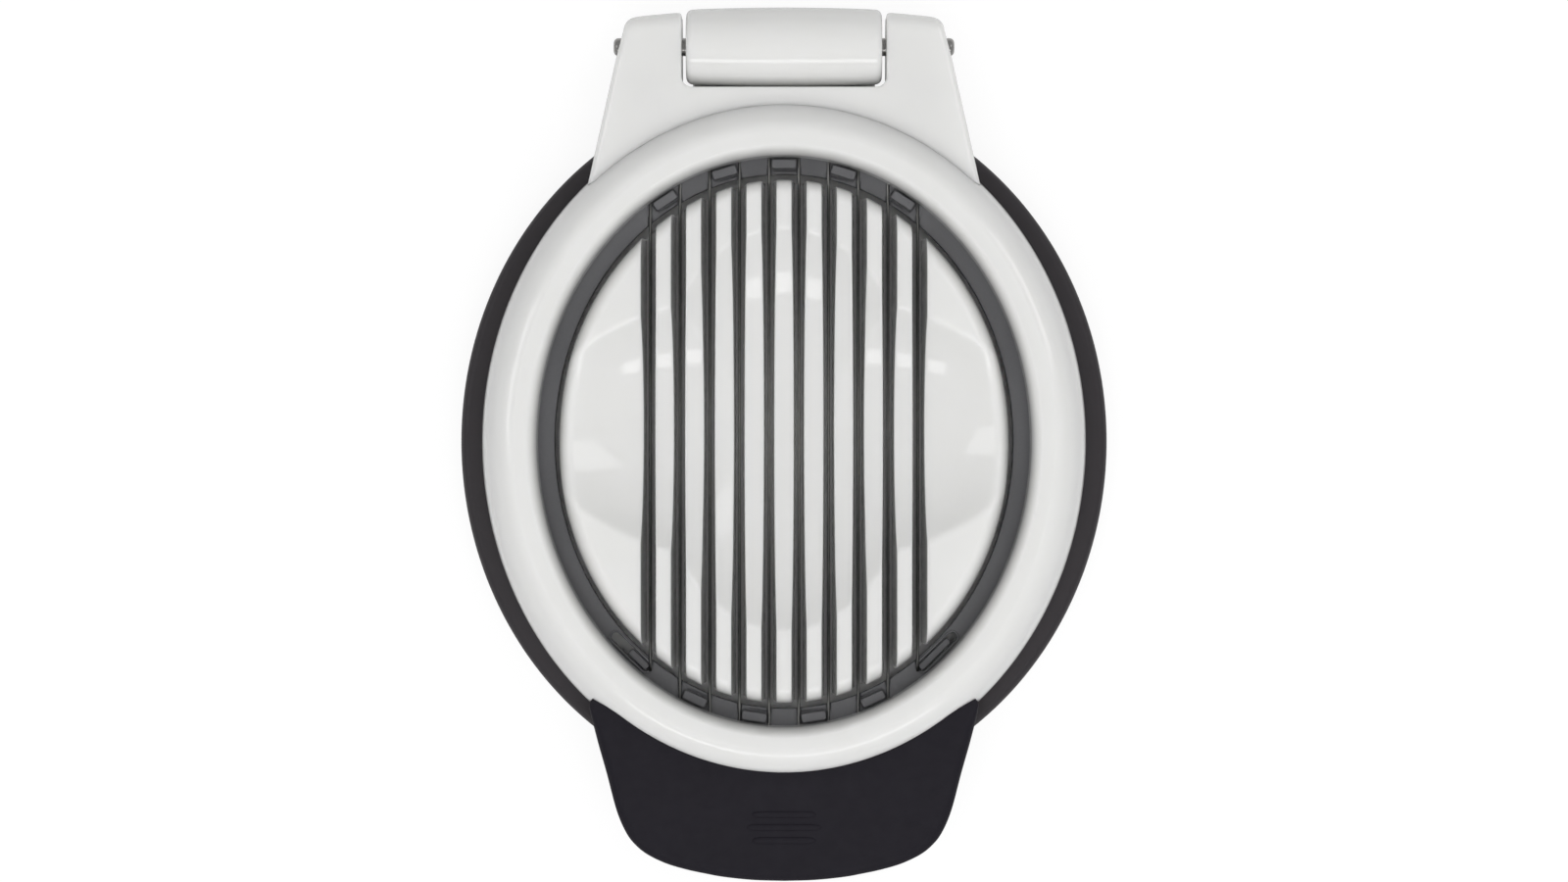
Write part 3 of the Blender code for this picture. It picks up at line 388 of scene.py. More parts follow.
# %% The soft ring's TPE
# The same compound, a shade browner and smoother where the mould was less eroded.
RING_TPE, tree, shader = new_material("moulded_tpe_warm_charcoal", Roughness=0.45, IOR=1.5)
tint(tree, shader, grain(tree, 6.0), "2F2C2F", "332F32")
shader.inputs["Specular IOR Level"].default_value = 0.35
vary(tree, shader, grain(tree, 2.0, 3.0), "Roughness", 0.4, 0.52)
emboss(tree, shader, grain(tree, 0.35), 0.02, 0.35)

# %% Grey nylon
# Filled nylon for stiffness: satin, a little mottled by its filler about half a millimetre across.
GREY_NYLON, tree, shader = new_material("moulded_nylon_grey", Roughness=0.42, IOR=1.53)
tint(tree, shader, grain(tree, 0.5, 3.0), "78787B", "7F7F82")
vary(tree, shader, grain(tree, 1.0, 3.0), "Roughness", 0.36, 0.5)
emboss(tree, shader, grain(tree, 0.4), 0.01, 0.4)

# %% Stainless wire and pin
# Drawn steel shows fine lines along its length: noise squeezed across the wire and drawn out
# along Y. The pin is ground, with faint rings across X.
WIRE_STEEL, tree, shader = new_material("drawn_stainless_wire", Metallic=1.0)
tint(tree, shader, grain(tree, 4.0), "90908E", "A2A2A0")
vary(tree, shader, grain(tree, 0.1, 2.0, (1, 0.03, 1)), "Roughness", 0.22, 0.38)

PIN_STEEL, tree, shader = new_material("ground_stainless_pin", Metallic=1.0)
tint(tree, shader, grain(tree, 3.0), "9A9997", "A8A7A5")
rings = grain(tree, 0.12, 2.0, (1, 0.05, 0.05))
vary(tree, shader, rings, "Roughness", 0.2, 0.36)
emboss(tree, shader, rings, 0.004, 0.4)

# %% Zinc-plated screws
# Barrel plated: bright but soft, with a mottle of about 0.6 mm from the tumbling.
SCREW_STEEL, tree, shader = new_material("zinc_plated_steel", Metallic=1.0)
tint(tree, shader, grain(tree, 0.6, 3.0), "B4B5B3", "C6C6C3")
vary(tree, shader, grain(tree, 0.6, 3.0), "Roughness", 0.28, 0.45)

# %% [markdown]
# ## The arm's ring
# On the real slicer the ring is a rounded channel, open below, that carries the wires. Its section
# is two quarter ellipses, a wide outer one and a narrow inner one, over two skirts. Carrying that
# section round the oval gives the whole ring. A curve with a bevel object could carry it too, but
# a formula keeps the oval's stretch the same at every radius. Where the grip laps over the ring's
# front, the points that reach too far out are pulled in to the grip's back edge.

# %% Arm ring
CROWN = RING_INNER + 3.4
WALL = 2.3
CHANNEL_IN = RING_INNER + WALL + 0.4
CHANNEL_OUT = RING_OUTER - WALL
ROOF = RING_TOP - WALL - 1.2
OUTER_FALL = 12.0
LIP = (1.6, 5.9)
LIP_Z = RING_TOP - 6.2
RING_INNER_BOTTOM = 14.0
GRIP_BACK = 48.5
GRIP_TIP = (31.85, 49.5)
GRIP_TIP_START = 27.5


def grip_limit(x):
    """How far out the ring reaches at its front, as an oval's radius: to the grip's back edge,
    and a little further near the grip's two tips."""
    near_tip = np.clip((np.abs(x) - GRIP_TIP_START) / (GRIP_TIP[0] - GRIP_TIP_START), 0, 1)
    return GRIP_BACK + (GRIP_TIP[1] - GRIP_BACK) * near_tip**2


outer_crown = bend((CROWN, RING_TOP - OUTER_FALL), (RING_OUTER - CROWN, OUTER_FALL), 2, 90, 24)
lip = bend((RING_INNER + LIP[0], LIP_Z), LIP, 86, 178, 16)
skirts = rounded(
    [
        (RING_INNER, 20, 0),
        (RING_INNER + 0.1, RING_INNER_BOTTOM, 0.35),
        (CHANNEL_IN, RING_INNER_BOTTOM, 0.3),
        (CHANNEL_IN, ROOF, 1.2),
        (CHANNEL_OUT, ROOF, 2.4),
        (CHANNEL_OUT, RING_BOTTOM, 0.4),
        (RING_OUTER, RING_BOTTOM, 0.5),
        (RING_OUTER, 14, 0),
    ],
    5,
)[6:-6]
ring_section = np.concatenate((outer_crown, lip, skirts))
tip_angle = math.acos(GRIP_TIP[0] / GRIP_TIP[1])
steps = np.array([math.pi + tip_angle, 2 * math.pi - tip_angle])
evenly = np.linspace(0, 2 * math.pi, 360, endpoint=False)
angle = np.sort(np.concatenate((evenly, steps - 2e-4, steps + 2e-4)))
in_front = (angle > steps[0]) & (angle < steps[1])
limit = np.where(in_front, grip_limit(GRIP_TIP[1] * np.cos(angle)), RING_OUTER + 1)[:, None]
arm_ring = oval(np.minimum(ring_section[None, :, 0], limit), angle[:, None], ring_section[None, :, 1])
ring_mesh = mesh_from("arm_ring", [shell(arm_ring, True)])
add_piece("arm_ring", ring_mesh, WHITE_ABS, "cutting_arm", ["arm_frame"])

# %% [markdown]
# ## The hinge plate
# The plate behind the ring ends in two ears that hold the pin. Seen from above it is a U, so the
# grid walks along the U. At each step a rounded section spans from the inner edge, by the barrel, to
# the outer edge. An extruded outline with a bevel would round every edge alike, and here each
# section has its own rounds. The ears' backs come from a section that thins to the back. A pocket
# moulded into each ear from below keeps its walls even, so that the white plastic doesn't sink. The
# pin fills its bores, so the ears have none here.

# %% Hinge plate and ears
PLATE_TOP = HINGE_Z + 5.2
WEB_BACK = HINGE_Y - 7.0
EAR_INNER = 17.05
EAR_CORNER = 2.2
EAR_SLANT, SLANT_START, SLANT_LENGTH = 0.09, 64.0, 6.0
EAR_END_ROUND = 0.8
WEB_FRONT = 49.5
SHOULDER_Y = EAR_BACK - EAR_CORNER
SHOULDER_X = 26.7
PLATE_FRONT = (32.7, 42.7)
TOP_ROUND, LOW_ROUND = 3.0, 4.6
WEB_CORNER = 1.7
SIDE_ROUND, GAP_ROUND = 1.2, 0.5
POCKET = (6.0, 7.0)
POCKET_X, POCKET_Y = 22.2, 57.4


def side_x(y):
    """The plate's tapered side, a straight line that turns into the ear's back corner."""
    slope = (PLATE_FRONT[0] - SHOULDER_X) / (SHOULDER_Y - PLATE_FRONT[1])
    past = np.clip(y - SHOULDER_Y, 0, EAR_CORNER)
    corner = EAR_CORNER - np.sqrt(np.clip(EAR_CORNER**2 - past**2, 0, None))
    return SHOULDER_X + slope * np.clip(SHOULDER_Y - y, 0, None) - corner


def across_rows():
    """Inner and outer ends of each section, from an ear's back to the plate's middle."""
    gap_start = WEB_BACK + WEB_CORNER
    ease = np.sin(np.linspace(0, math.pi / 2, 18))
    straight = np.linspace(EAR_BACK - LOW_ROUND, gap_start, 10)[1:]
    ear_y = np.concatenate((EAR_BACK - LOW_ROUND * (1 - ease[::-1]), straight))
    past = np.clip((ear_y - EAR_BACK + EAR_END_ROUND) / EAR_END_ROUND, 0, 1)
    inner_round = EAR_END_ROUND * (1 - np.sqrt(np.clip(1 - past**2, 0, None)))
    ear_in = np.stack((EAR_INNER + inner_round, ear_y), axis=1)
    ear_out = np.stack((side_x(ear_y), ear_y), axis=1)
    turn_in = bend((EAR_INNER - WEB_CORNER, gap_start), WEB_CORNER, 0, -90, 11)[1:]
    turn_y = np.linspace(gap_start, PLATE_FRONT[1], 11)[1:]
    turn_out = np.stack((side_x(turn_y), turn_y), axis=1)
    share = np.linspace(1, 0, 25)[1:]
    web_in = np.stack((share * (EAR_INNER - WEB_CORNER), np.full(24, WEB_BACK)), axis=1)
    web_x = share * PLATE_FRONT[0]
    web_out = np.stack((web_x, oval_y(WEB_FRONT, web_x)), axis=1)
    edge_round = np.concatenate((np.full(len(ear_y) + 10, SIDE_ROUND), np.full(24, 0.05)))
    inner, outer = (ear_in, turn_in, web_in), (ear_out, turn_out, web_out)
    return np.concatenate(inner), np.concatenate(outer), edge_round


def plate_sections():
    """Each section's points: the fillets' quarter circles, drawn in from both ends, at the top
    and at the bottom. Dividing by the sine keeps a fillet's true width where a section meets
    the edge aslant."""
    inner, outer, outer_round = across_rows()
    span = outer - inner
    length = np.linalg.norm(span, axis=1, keepdims=True)
    heading = span / length
    tangent = np.gradient(outer, axis=0)
    tangent /= np.linalg.norm(tangent, axis=1, keepdims=True)
    sine = np.abs(heading[:, 0] * tangent[:, 1] - heading[:, 1] * tangent[:, 0])[:, None]
    y = inner[:, 1:] * 0.5 + outer[:, 1:] * 0.5
    y = np.where(outer_round[:, None] < 0.5, WEB_BACK, y)
    back = y - (EAR_BACK - TOP_ROUND)
    top = PLATE_TOP - TOP_ROUND + np.sqrt(np.clip(TOP_ROUND**2 - np.clip(back, 0, None) ** 2, 0, None))
    low_back = np.clip(y - (EAR_BACK - LOW_ROUND), 0, None)
    bottom = RING_BOTTOM + LOW_ROUND - np.sqrt(np.clip(LOW_ROUND**2 - low_back**2, 0, None))
    turn = np.radians(np.linspace(0, 90, 6))[None, :]
    in_inset = GAP_ROUND * (1 - np.cos(turn)) + 0 * y
    out_inset = outer_round[:, None] * (1 - np.cos(turn)) / np.maximum(sine, 0.4)
    in_drop = GAP_ROUND * (1 - np.sin(turn)) + 0 * y
    out_drop = outer_round[:, None] * (1 - np.sin(turn))
    between = length - in_inset[:, -1:] - out_inset[:, -1:]
    reach = np.concatenate(
        (
            in_inset,
            in_inset[:, -1:] + between * np.linspace(0.1, 0.9, 5)[None],
            length - out_inset[:, ::-1],
            length - out_inset,
            in_inset[:, ::-1],
        ),
        axis=1,
    )
    upper = (top - in_drop, top + np.zeros(5)[None], top - out_drop[:, ::-1])
    z = np.concatenate((*upper, bottom + out_drop, bottom + in_drop[:, ::-1]), axis=1)
    flat = inner[:, None] + heading[:, None] * reach[..., None]
    near_back = np.clip((flat[..., 1] - SLANT_START) / SLANT_LENGTH, 0, 1)
    flat[..., 1] -= EAR_SLANT * np.clip(flat[..., 0] - EAR_INNER, 0, None) * near_back
    return np.concatenate((flat, z[..., None]), axis=-1)


right_half = plate_sections()
left_half = right_half[::-1][1:] * (-1, 1, 1)
hinge_plate = np.concatenate((right_half, left_half))
ear_pockets = [
    shell(tile((x, POCKET_Y), 0, POCKET, RING_BOTTOM - 1, PLATE_TOP - WALL, 1.0))
    for x in (-POCKET_X, POCKET_X)
]
plate_mesh = carve(mesh_from("hinge_plate", [shell(hinge_plate)]), mesh_from("pockets", ear_pockets))
plate_mesh.name = "hinge_plate"
add_piece("hinge_plate", plate_mesh, WHITE_ABS, "cutting_arm", ["arm_frame"])

# %% [markdown]
# ## The grip
# A dark TPE tongue moulded over the arm. Its back edge follows the ring, its sides run straight to
# large rounded corners. It could be sculpted, but an outline keeps its back edge exactly on the
# ring's cut. So it is a flat outline with rounded edges, sheared so that its top falls towards the
# front. Three low ridges give the thumb a hold. Each is a lying ellipse whose girth
# shrinks steeply near its two ends.

# %% Grip
TIP_Y = 42.75
GRIP_FALL = 5.7
RIDGE_COUNT, RIDGE_PITCH, FIRST_RIDGE_Y = 3, 2.2, -62.4
RIDGE = (0.62, 0.3)
GRIP_SIDE = [
    (GRIP_TIP[0], -TIP_Y),
    (32.35, -44.3),
    (31.3, -49.3),
    (29.65, -55.4),
    (28.0, -61.8),
    (26.4, -65.6),
    (24.8, -67.7),
    (22.8, -69.3),
    (19.7, -70.8),
    (16.4, -71.8),
    (13.2, -72.5),
    (9.9, -73.1),
    (5.0, -73.6),
    (0.0, 0.05 - GRIP_END),
]

side = curve_through(GRIP_SIDE)
across_back = np.linspace(-GRIP_TIP[0] + 0.5, GRIP_TIP[0] - 0.5, 81)
back = np.stack((across_back, -oval_y(grip_limit(across_back) + 0.1, across_back)), axis=1)
outline = np.concatenate((side, side[-2::-1] * (-1, 1), back))
at_ring = np.arange(len(outline)) >= 2 * len(side) - 1
to_tip = np.linalg.norm(np.abs(outline) - (GRIP_TIP[0], TIP_Y), axis=1)
edge = 1.6 * np.clip(to_tip / 6.0, 0.06, 1)
low_edge = np.where(at_ring, 0.06, 0.7 * edge)
top_edge = np.where(at_ring, 0.12, edge)
grip = slab(outline, GRIP_BOTTOM, GRIP_TOP, low_edge, top_edge, 7)
fall = GRIP_FALL / (GRIP_END - TIP_Y)
raised = np.clip((grip[..., 2] - GRIP_BOTTOM) / (GRIP_TOP - GRIP_BOTTOM), 0, 1)
grip[..., 2] += fall * np.minimum(grip[..., 1] + TIP_Y, 0) * raised
grip_shells = [shell(grip)]
for number in range(RIDGE_COUNT):
    ridge_y = FIRST_RIDGE_Y - RIDGE_PITCH * number
    half_length = 6.4 - 0.9 * abs(number - 1)
    long_way = np.linspace(-1, 1, 25)
    girth = np.sqrt(np.clip(1 - long_way**8, 0.0004, 1))
    around = np.linspace(0, 2 * math.pi, 20, endpoint=False)
    ridge = np.stack(
        (
            np.broadcast_to(half_length * long_way[:, None], (25, 20)),
            ridge_y + RIDGE[0] * girth[:, None] * np.cos(around)[None],
            GRIP_TOP + fall * (ridge_y + TIP_Y) - 0.06 + RIDGE[1] * girth[:, None] * np.sin(around)[None],
        ),
        axis=-1,
    )
    ridge[..., 2] += fall * (ridge[..., 1] - ridge_y)
    grip_shells.append(shell(ridge))
add_piece("grip", mesh_from("grip", grip_shells), DARK_TPE, "cutting_arm", ["arm_grip"])

# %% [markdown]
# ## The hinge
# The barrel is moulded with the base. It bulges slightly at its middle, so its radius is a parabola
# along its length. A cylinder with a bevel would do for a straight barrel, and a turned section
# gives the bulge as well. A neck carries it from the pan. The steel pin shows between the ears and at both
# ends, where it is domed.

# %% Barrel, neck and pin
BARREL = 6.6
BARREL_END = 16.35
BARREL_ROUND = 1.1
BULGE = 0.35
PIN_DOME = 0.8
edge = bend((BARREL - BULGE - BARREL_ROUND, BARREL_END - BARREL_ROUND), BARREL_ROUND, 90, 0, 9)
middle = np.linspace(BARREL_END - BARREL_ROUND, BARREL_ROUND - BARREL_END, 25)[1:-1]
bulge = np.stack((BARREL - BULGE * (middle / BARREL_END) ** 2, middle), axis=1)
far_edge = edge[::-1] * (1, -1)
barrel_section = np.concatenate(([(0.02, BARREL_END)], edge, bulge, far_edge, [(0.02, -BARREL_END)]))
barrel = turned(barrel_section, (0, HINGE_Y, HINGE_Z), "x", 96)

NECK_HALF_WIDTH = 15.4
NECK_START, NECK_BACK, NECK_FRONT = 52.4, HINGE_Y + 6.1, HINGE_Y - 6.0
NECK_BOTTOM, NECK_TOP = 2.0, 9.2
neck_side = rounded(
    [
        (NECK_START, NECK_BOTTOM, 0.2),
        (NECK_BACK, NECK_BOTTOM, 8.0),
        (NECK_BACK, HINGE_Z, 0.3),
        (NECK_FRONT, HINGE_Z, 0.3),
        (NECK_FRONT, NECK_TOP, 0.3),
        (NECK_START, NECK_TOP, 0.2),
    ],
    8,
)
neck_lying = slab(neck_side, -NECK_HALF_WIDTH, NECK_HALF_WIDTH, 0.5, 0.5)
neck = neck_lying[..., [2, 0, 1]]
barrel_mesh = mesh_from("hinge_barrel", [shell(barrel), shell(neck)])
add_piece("hinge_barrel", barrel_mesh, WHITE_ABS, "base", ["base_body"])

dome = bend((PIN_RADIUS - PIN_DOME, PIN_END - PIN_DOME), PIN_DOME, 80, 0, 6)
pin_section = np.concatenate(([(0.02, PIN_END)], dome, dome[::-1] * (1, -1), [(0.02, -PIN_END)]))
pin_mesh = mesh_from("pivot_pin", [shell(turned(pin_section, (0, HINGE_Y, HINGE_Z), "x", 40))])
add_piece("pivot_pin", pin_mesh, PIN_STEEL, "base", ["hinge_pin"])

# %% [markdown]
# ## The pan and its soft ring
# The pan is an oval dish. Its section runs from the middle of the floor, over the wall, back to the
# middle of its underside, and a cap closes the grid at both of its ends. A block could be hollowed
# by a Boolean, but one section gives the dish at once, with its rounded edges. The soft ring is
# moulded round the wall and under it, and is what stands on the table.

# %% Pan and soft ring
PAN_OUTER = RING_OUTER - 0.7
PAN_INNER = PAN_OUTER - 2.5
PAN_BOTTOM, PAN_UNDERSIDE, PAN_FLOOR, PAN_RIM = 2.0, 3.0, 5.0, 9.5
SOFT_INNER = PAN_OUTER - 3.9
SOFT_FLANGE_TOP = 1.7
pan_section = rounded(
    [
        (0.5, PAN_FLOOR, 0),
        (PAN_INNER, PAN_FLOOR, 1.2),
        (PAN_INNER, PAN_RIM, 0.5),
        (PAN_OUTER, PAN_RIM, 0.5),
        (PAN_OUTER, PAN_BOTTOM, 0.6),
        (PAN_OUTER - 2.8, PAN_BOTTOM, 0.6),
        (PAN_OUTER - 3.4, PAN_UNDERSIDE, 0.6),
        (0.5, PAN_UNDERSIDE, 0),
    ],
    5,
)
pan_mesh = mesh_from("base_pan", [shell(sweep(pan_section, 180).swapaxes(0, 1))])
add_piece("base_pan", pan_mesh, WHITE_ABS, "base", ["base_body"])

soft_section = rounded(
    [
        (PAN_OUTER + 0.1, SOFT_TOP, 0.2),
        (BASE_OUTER, SOFT_TOP, 1.5),
        (BASE_OUTER, 0, 1.4),
        (SOFT_INNER, 0, 0.5),
        (SOFT_INNER, SOFT_FLANGE_TOP, 0.3),
        (PAN_OUTER + 0.1, SOFT_FLANGE_TOP, 0.2),
    ],
    7,
)
soft_mesh = mesh_from("soft_ring", [shell(sweep(soft_section, 300), True)])
add_piece("soft_ring", soft_mesh, RING_TPE, "base", ["nonslip_ring"])

# %% [markdown]
# ## The egg tray
# Two hollows cross in the tray, one for an egg that lies lengthwise and one for an egg that lies
# crosswise. Each is the underside of an ellipsoid. The tray is split by ten slots, so it is built
# as nine slats and two side lobes on one foot. One height function gives all their tops: the lowest
# of the flat top and the two hollows, blended a little where they meet, and rounded off at the
# outer edge. Slots cut by a Boolean would have sharp edges, and a slat's own section is rounded.

# %% Tray height
WIRE_COUNT = 10
PITCH = 5.0
SLOT = 1.7
SLOT_Z = 15.0
SLOT_LEAN = 0.04
SLOT_MOUTH = 1.25
SLOT_FLOOR = CARRIER_BOTTOM - 0.5
SLAT_FOOT = SLOT_FLOOR - 0.6
HOLLOW_Y = 2.0
HOLLOW_Z = TRAY_TOP + 8.0
LONG_HOLLOW = (25.0, 37.1, 18.3)
CROSS_HOLLOW = (46.5, 25.4, 17.8)
RIM_ROUND = 2.8
RIM_DROP = 7.0


def hollow(size, x, y):
    """Height of the ellipsoid's underside, or high above the tray outside it."""
    inside = 1 - (x / size[0]) ** 2 - ((y - HOLLOW_Y) / size[1]) ** 2
    return HOLLOW_Z - size[2] * np.sqrt(np.clip(inside, 0, None)) + np.where(inside < 0, 20, 0)


def lower_of(a, b, blend):
    """The lower of two heights, with the corner between them rounded over the blend's height."""
    near = np.clip(0.5 + 0.5 * (b - a) / blend, 0, 1)
    return b * (1 - near) + a * near - blend * near * (1 - near)


def slot_half(z):
    """Half a slot's width at this height. The walls lean apart, so that the mould comes out: the
    slot is wider where the tray is high than in the hollows."""
    return SLOT / 2 + SLOT_LEAN * (z - SLOT_Z)


def tray_top(x, y):
    """The flat top and the two hollows, before the outer edge is rounded."""
    top = lower_of(hollow(LONG_HOLLOW, x, y), hollow(CROSS_HOLLOW, x, y), 0.25)
    return lower_of(np.full_like(top, TRAY_TOP), top, 0.35)


def tray_height(x, y):
    """The tray's top, which falls by part of an oval at its outer edge."""
    share = np.sqrt((x / TRAY_X) ** 2 + (y / TRAY_Y) ** 2)
    slope = np.sqrt((x / TRAY_X**2) ** 2 + (y / TRAY_Y**2) ** 2) / np.maximum(share, 1e-6)
    from_flat = 1 - np.clip((1 - share) / np.maximum(slope, 1e-3) / RIM_ROUND, 0, 1)
    return tray_top(x, y) - RIM_DROP * (1 - np.sqrt(1 - from_flat**2.4))


middle_height = tray_height(np.array([0.0]), np.array([HOLLOW_Y]))[0]
print(f"the tray is {middle_height:.2f} mm high in the middle")

# %% Slats and lobes


def slat(left, right, across, rows):
    """One slat between the wires at `left` and `right`, or a lobe where one of them is the
    tray's end. At each y a section runs from one side to the other, with rounded top edges. Its
    walls lean, and the tray's oval cuts it off at both ends."""
    nearest = 0 if left * right < 0 else min(abs(left), abs(right)) + SLOT_MOUTH
    end = TRAY_Y * math.sqrt(1 - (nearest / TRAY_X) ** 2) - 0.002
    y = end * np.sin(np.linspace(-math.pi / 2, math.pi / 2, rows))[:, None]
    rim = TRAY_X * np.sqrt(np.clip(1 - (y / TRAY_Y) ** 2, 0, None))
    low = np.maximum(left + slot_half(tray_top(left + 1, y)), -rim) if left > -TRAY_X else -rim
    high = np.minimum(right - slot_half(tray_top(right - 1, y)), rim) if right < TRAY_X else rim
    foot_low = np.maximum(left + slot_half(SLOT_FLOOR), -rim) if left > -TRAY_X else -rim
    foot_high = np.minimum(right - slot_half(SLOT_FLOOR), rim) if right < TRAY_X else rim
    width = np.maximum(high - low, 0.004)
    near_end = np.clip(1 - (end - np.abs(y)) / 4.0, 0, 1)
    fillet = np.minimum(0.35 + 0.7 * near_end**2, width * 0.42)
    turn = np.radians(np.linspace(0, 90, 6))[None]
    inset = fillet * (1 - np.cos(turn))
    drop = fillet * (1 - np.sin(turn))
    inner = low + fillet + (width - 2 * fillet) * np.linspace(0, 1, across + 2)[None, 1:-1]
    x = np.concatenate((low, low + inset, inner, high - inset[:, ::-1], high), axis=1)
    foot_x = np.concatenate((foot_low, np.maximum(foot_high, foot_low + 0.004)), axis=1)
    fall = np.concatenate((drop[:, :1], drop, np.zeros_like(inner), drop[:, ::-1], drop[:, :1]), axis=1)
    z = tray_height(x, np.broadcast_to(y, x.shape)) - fall
    z[:, [0, -1]] = SLAT_FOOT
    x[:, [0, -1]] = foot_x
    return np.stack((x, np.broadcast_to(y, x.shape), z), axis=-1)


wire_x = (np.arange(WIRE_COUNT) - (WIRE_COUNT - 1) / 2) * PITCH
slats = [shell(slat(a, b, 7, 170)) for a, b in zip(wire_x[:-1], wire_x[1:])]
lobes = [shell(slat(a, b, 40, 130)) for a, b in ((-TRAY_X, wire_x[0]), (wire_x[-1], TRAY_X))]
angle = np.linspace(0, 2 * math.pi, 180, endpoint=False)
tray_plan = np.stack((TRAY_X * np.cos(angle), TRAY_Y * np.sin(angle)), axis=1)
tray_foot = slab(tray_plan, TRAY_BOTTOM, SLOT_FLOOR, 0.3, 0.3)
tray_mesh = mesh_from("tray_slats", [*slats, *lobes, shell(tray_foot)])
add_piece("tray_slats", tray_mesh, WHITE_ABS, "base", ["egg_tray"])

# %% [markdown]
# ## The wire carrier
# A grey nylon ring sits in the arm's channel. Its flange reaches into the window and bears the
# posts that the wire is laced round. Two slots in its front hold the wire's ends. The flange is
# swept round the oval. Its posts' seats, its slots and a notch under each wire are small and
# sharp, which suits an exact Boolean. They are cut in three groups, because one cutter that held
# them all left nothing of the carrier.

# %% Carrier
CARRIER_IN = RING_INNER - 2.6
FLANGE_TOP = CARRIER_BOTTOM + 1.8
POST_OVAL = RING_INNER - 0.9
POST = (PITCH - 0.8, 1.6)
POST_TOP = FLANGE_TOP + 1.6
SEAT = (POST[0] + 0.4, POST[1] + 0.5)
NOTCH = (0.9, 1.5)
CARRIER_ROOM = 0.3
carrier_section = rounded(
    [
        (CARRIER_IN, CARRIER_BOTTOM, 0.25),
        (CARRIER_IN, FLANGE_TOP, 0.25),
        (CHANNEL_IN + CARRIER_ROOM, FLANGE_TOP, 0.2),
        (CHANNEL_IN + CARRIER_ROOM, CARRIER_TOP, 0.3),
        (CHANNEL_OUT - CARRIER_ROOM, CARRIER_TOP, 0.3),
        (CHANNEL_OUT - CARRIER_ROOM, CARRIER_BOTTOM, 0.3),
    ],
    4,
)


def on_oval_at(x, side, oval_radius=POST_OVAL):
    """Place and heading on the oval, at this x, in front (-1) or at the back (1)."""
    y = oval_y(oval_radius, x)
    slope = (oval_y(oval_radius, x + 0.01) - oval_y(oval_radius, x - 0.01)) / 0.02
    return (x, side * float(y)), math.atan(side * slope)


posts, seats, slots, notches, lock_rims = [], [], [], [], []
for side, first in ((1, 0), (-1, 1)):
    for index in range(first, WIRE_COUNT - 1, 2):
        center, heading = on_oval_at(float(wire_x[index] + wire_x[index + 1]) / 2, side)
        posts.append(shell(tile(center, heading, POST, FLANGE_TOP - 0.8, POST_TOP, 0.4)))
        seats.append(shell(tile(center, heading, SEAT, FLANGE_TOP - 0.6, FLANGE_TOP + 0.5, 0.5)))

LOCK_OUT = 3.5
LOCK_ANGLE = math.acos((wire_x[-1] + LOCK_OUT) / POST_OVAL)
LOCK_SLOT = (8.6, 1.6)
PLUG_WIDTH = 1.25
PLUG_LENGTHS = {"left": 4.2, "right": 6.8}
LOCK_OVAL = POST_OVAL - 0.3


def lock_place(side):
    """Middle and heading of the slot that holds one end of the wire."""
    center = (side * LOCK_OVAL * math.cos(LOCK_ANGLE), -(LOCK_OVAL + OVAL_STRETCH) * math.sin(LOCK_ANGLE))
    along = (side * LOCK_OVAL * math.sin(LOCK_ANGLE), (LOCK_OVAL + OVAL_STRETCH) * math.cos(LOCK_ANGLE))
    return np.array(center), math.atan2(along[1], along[0])


for side in (-1, 1):
    center, heading = lock_place(side)
    slot = tile(center, heading, LOCK_SLOT, CARRIER_BOTTOM - 1, FLANGE_TOP + 1, 0.78)
    slots.append(shell(slot))
    lock_rims.append(shell(rim(slot[3, :, :2], 0.4, CARRIER_BOTTOM + 0.2, FLANGE_TOP + 0.25, 0.15), True))
for side in (-1, 1):
    for x in wire_x.tolist():
        center, _ = on_oval_at(x, side, CARRIER_IN + 0.4)
        notches.append(shell(tile(center, 0, NOTCH, FLANGE_TOP - 0.9, FLANGE_TOP + 0.5, 0.2)))
carrier = mesh_from("lacing_carrier", [shell(sweep(carrier_section, 240), True)])
for name, shells in (("seats", seats), ("slots", slots), ("notches", notches)):
    carrier = carve(carrier, mesh_from(name, shells))
    print(f"{name} cut, {len(carrier.polygons)} faces left")
carrier.name = "lacing_carrier"
add_piece("lacing_carrier", carrier, GREY_NYLON, "cutting_arm", ["wire_carrier"])
post_mesh = mesh_from("lacing_posts", [*posts, *lock_rims])
add_piece("lacing_posts", post_mesh, GREY_NYLON, "cutting_arm", ["wire_carrier"])

# %% Wire locks
for side_name, length in PLUG_LENGTHS.items():
    name = f"lock_plug_{side_name}"
    center, heading = lock_place(-1 if side_name == "left" else 1)
    along = np.array((math.cos(heading), math.sin(heading)))
    plug_at = center - along * (LOCK_SLOT[0] / 2 - 0.3 - length / 2)
    plug = tile(plug_at, heading, (length, PLUG_WIDTH), CARRIER_BOTTOM + 0.3, FLANGE_TOP + 0.1, 0.4)
    plug_mesh = mesh_from(name, [shell(plug)])
    add_piece(name, plug_mesh, GREY_NYLON, "cutting_arm", [f"wire_lock_{side_name}"])

# %% [markdown]
# ## The wire
# One steel wire goes to and fro: up a strand, round a post, down the next. Its path is worked out
# as one list of points, and a tube is carried along it: at each point a circle stands square to the
# path, made from the level normal and the upright. A curve with a round bevel would do as well,
# and a grid lets the wire be built like the other pieces.

# %% Laced wire
WIRE = 0.25
WIRE_Z = FLANGE_TOP + 2 * WIRE
BOW = 1.2


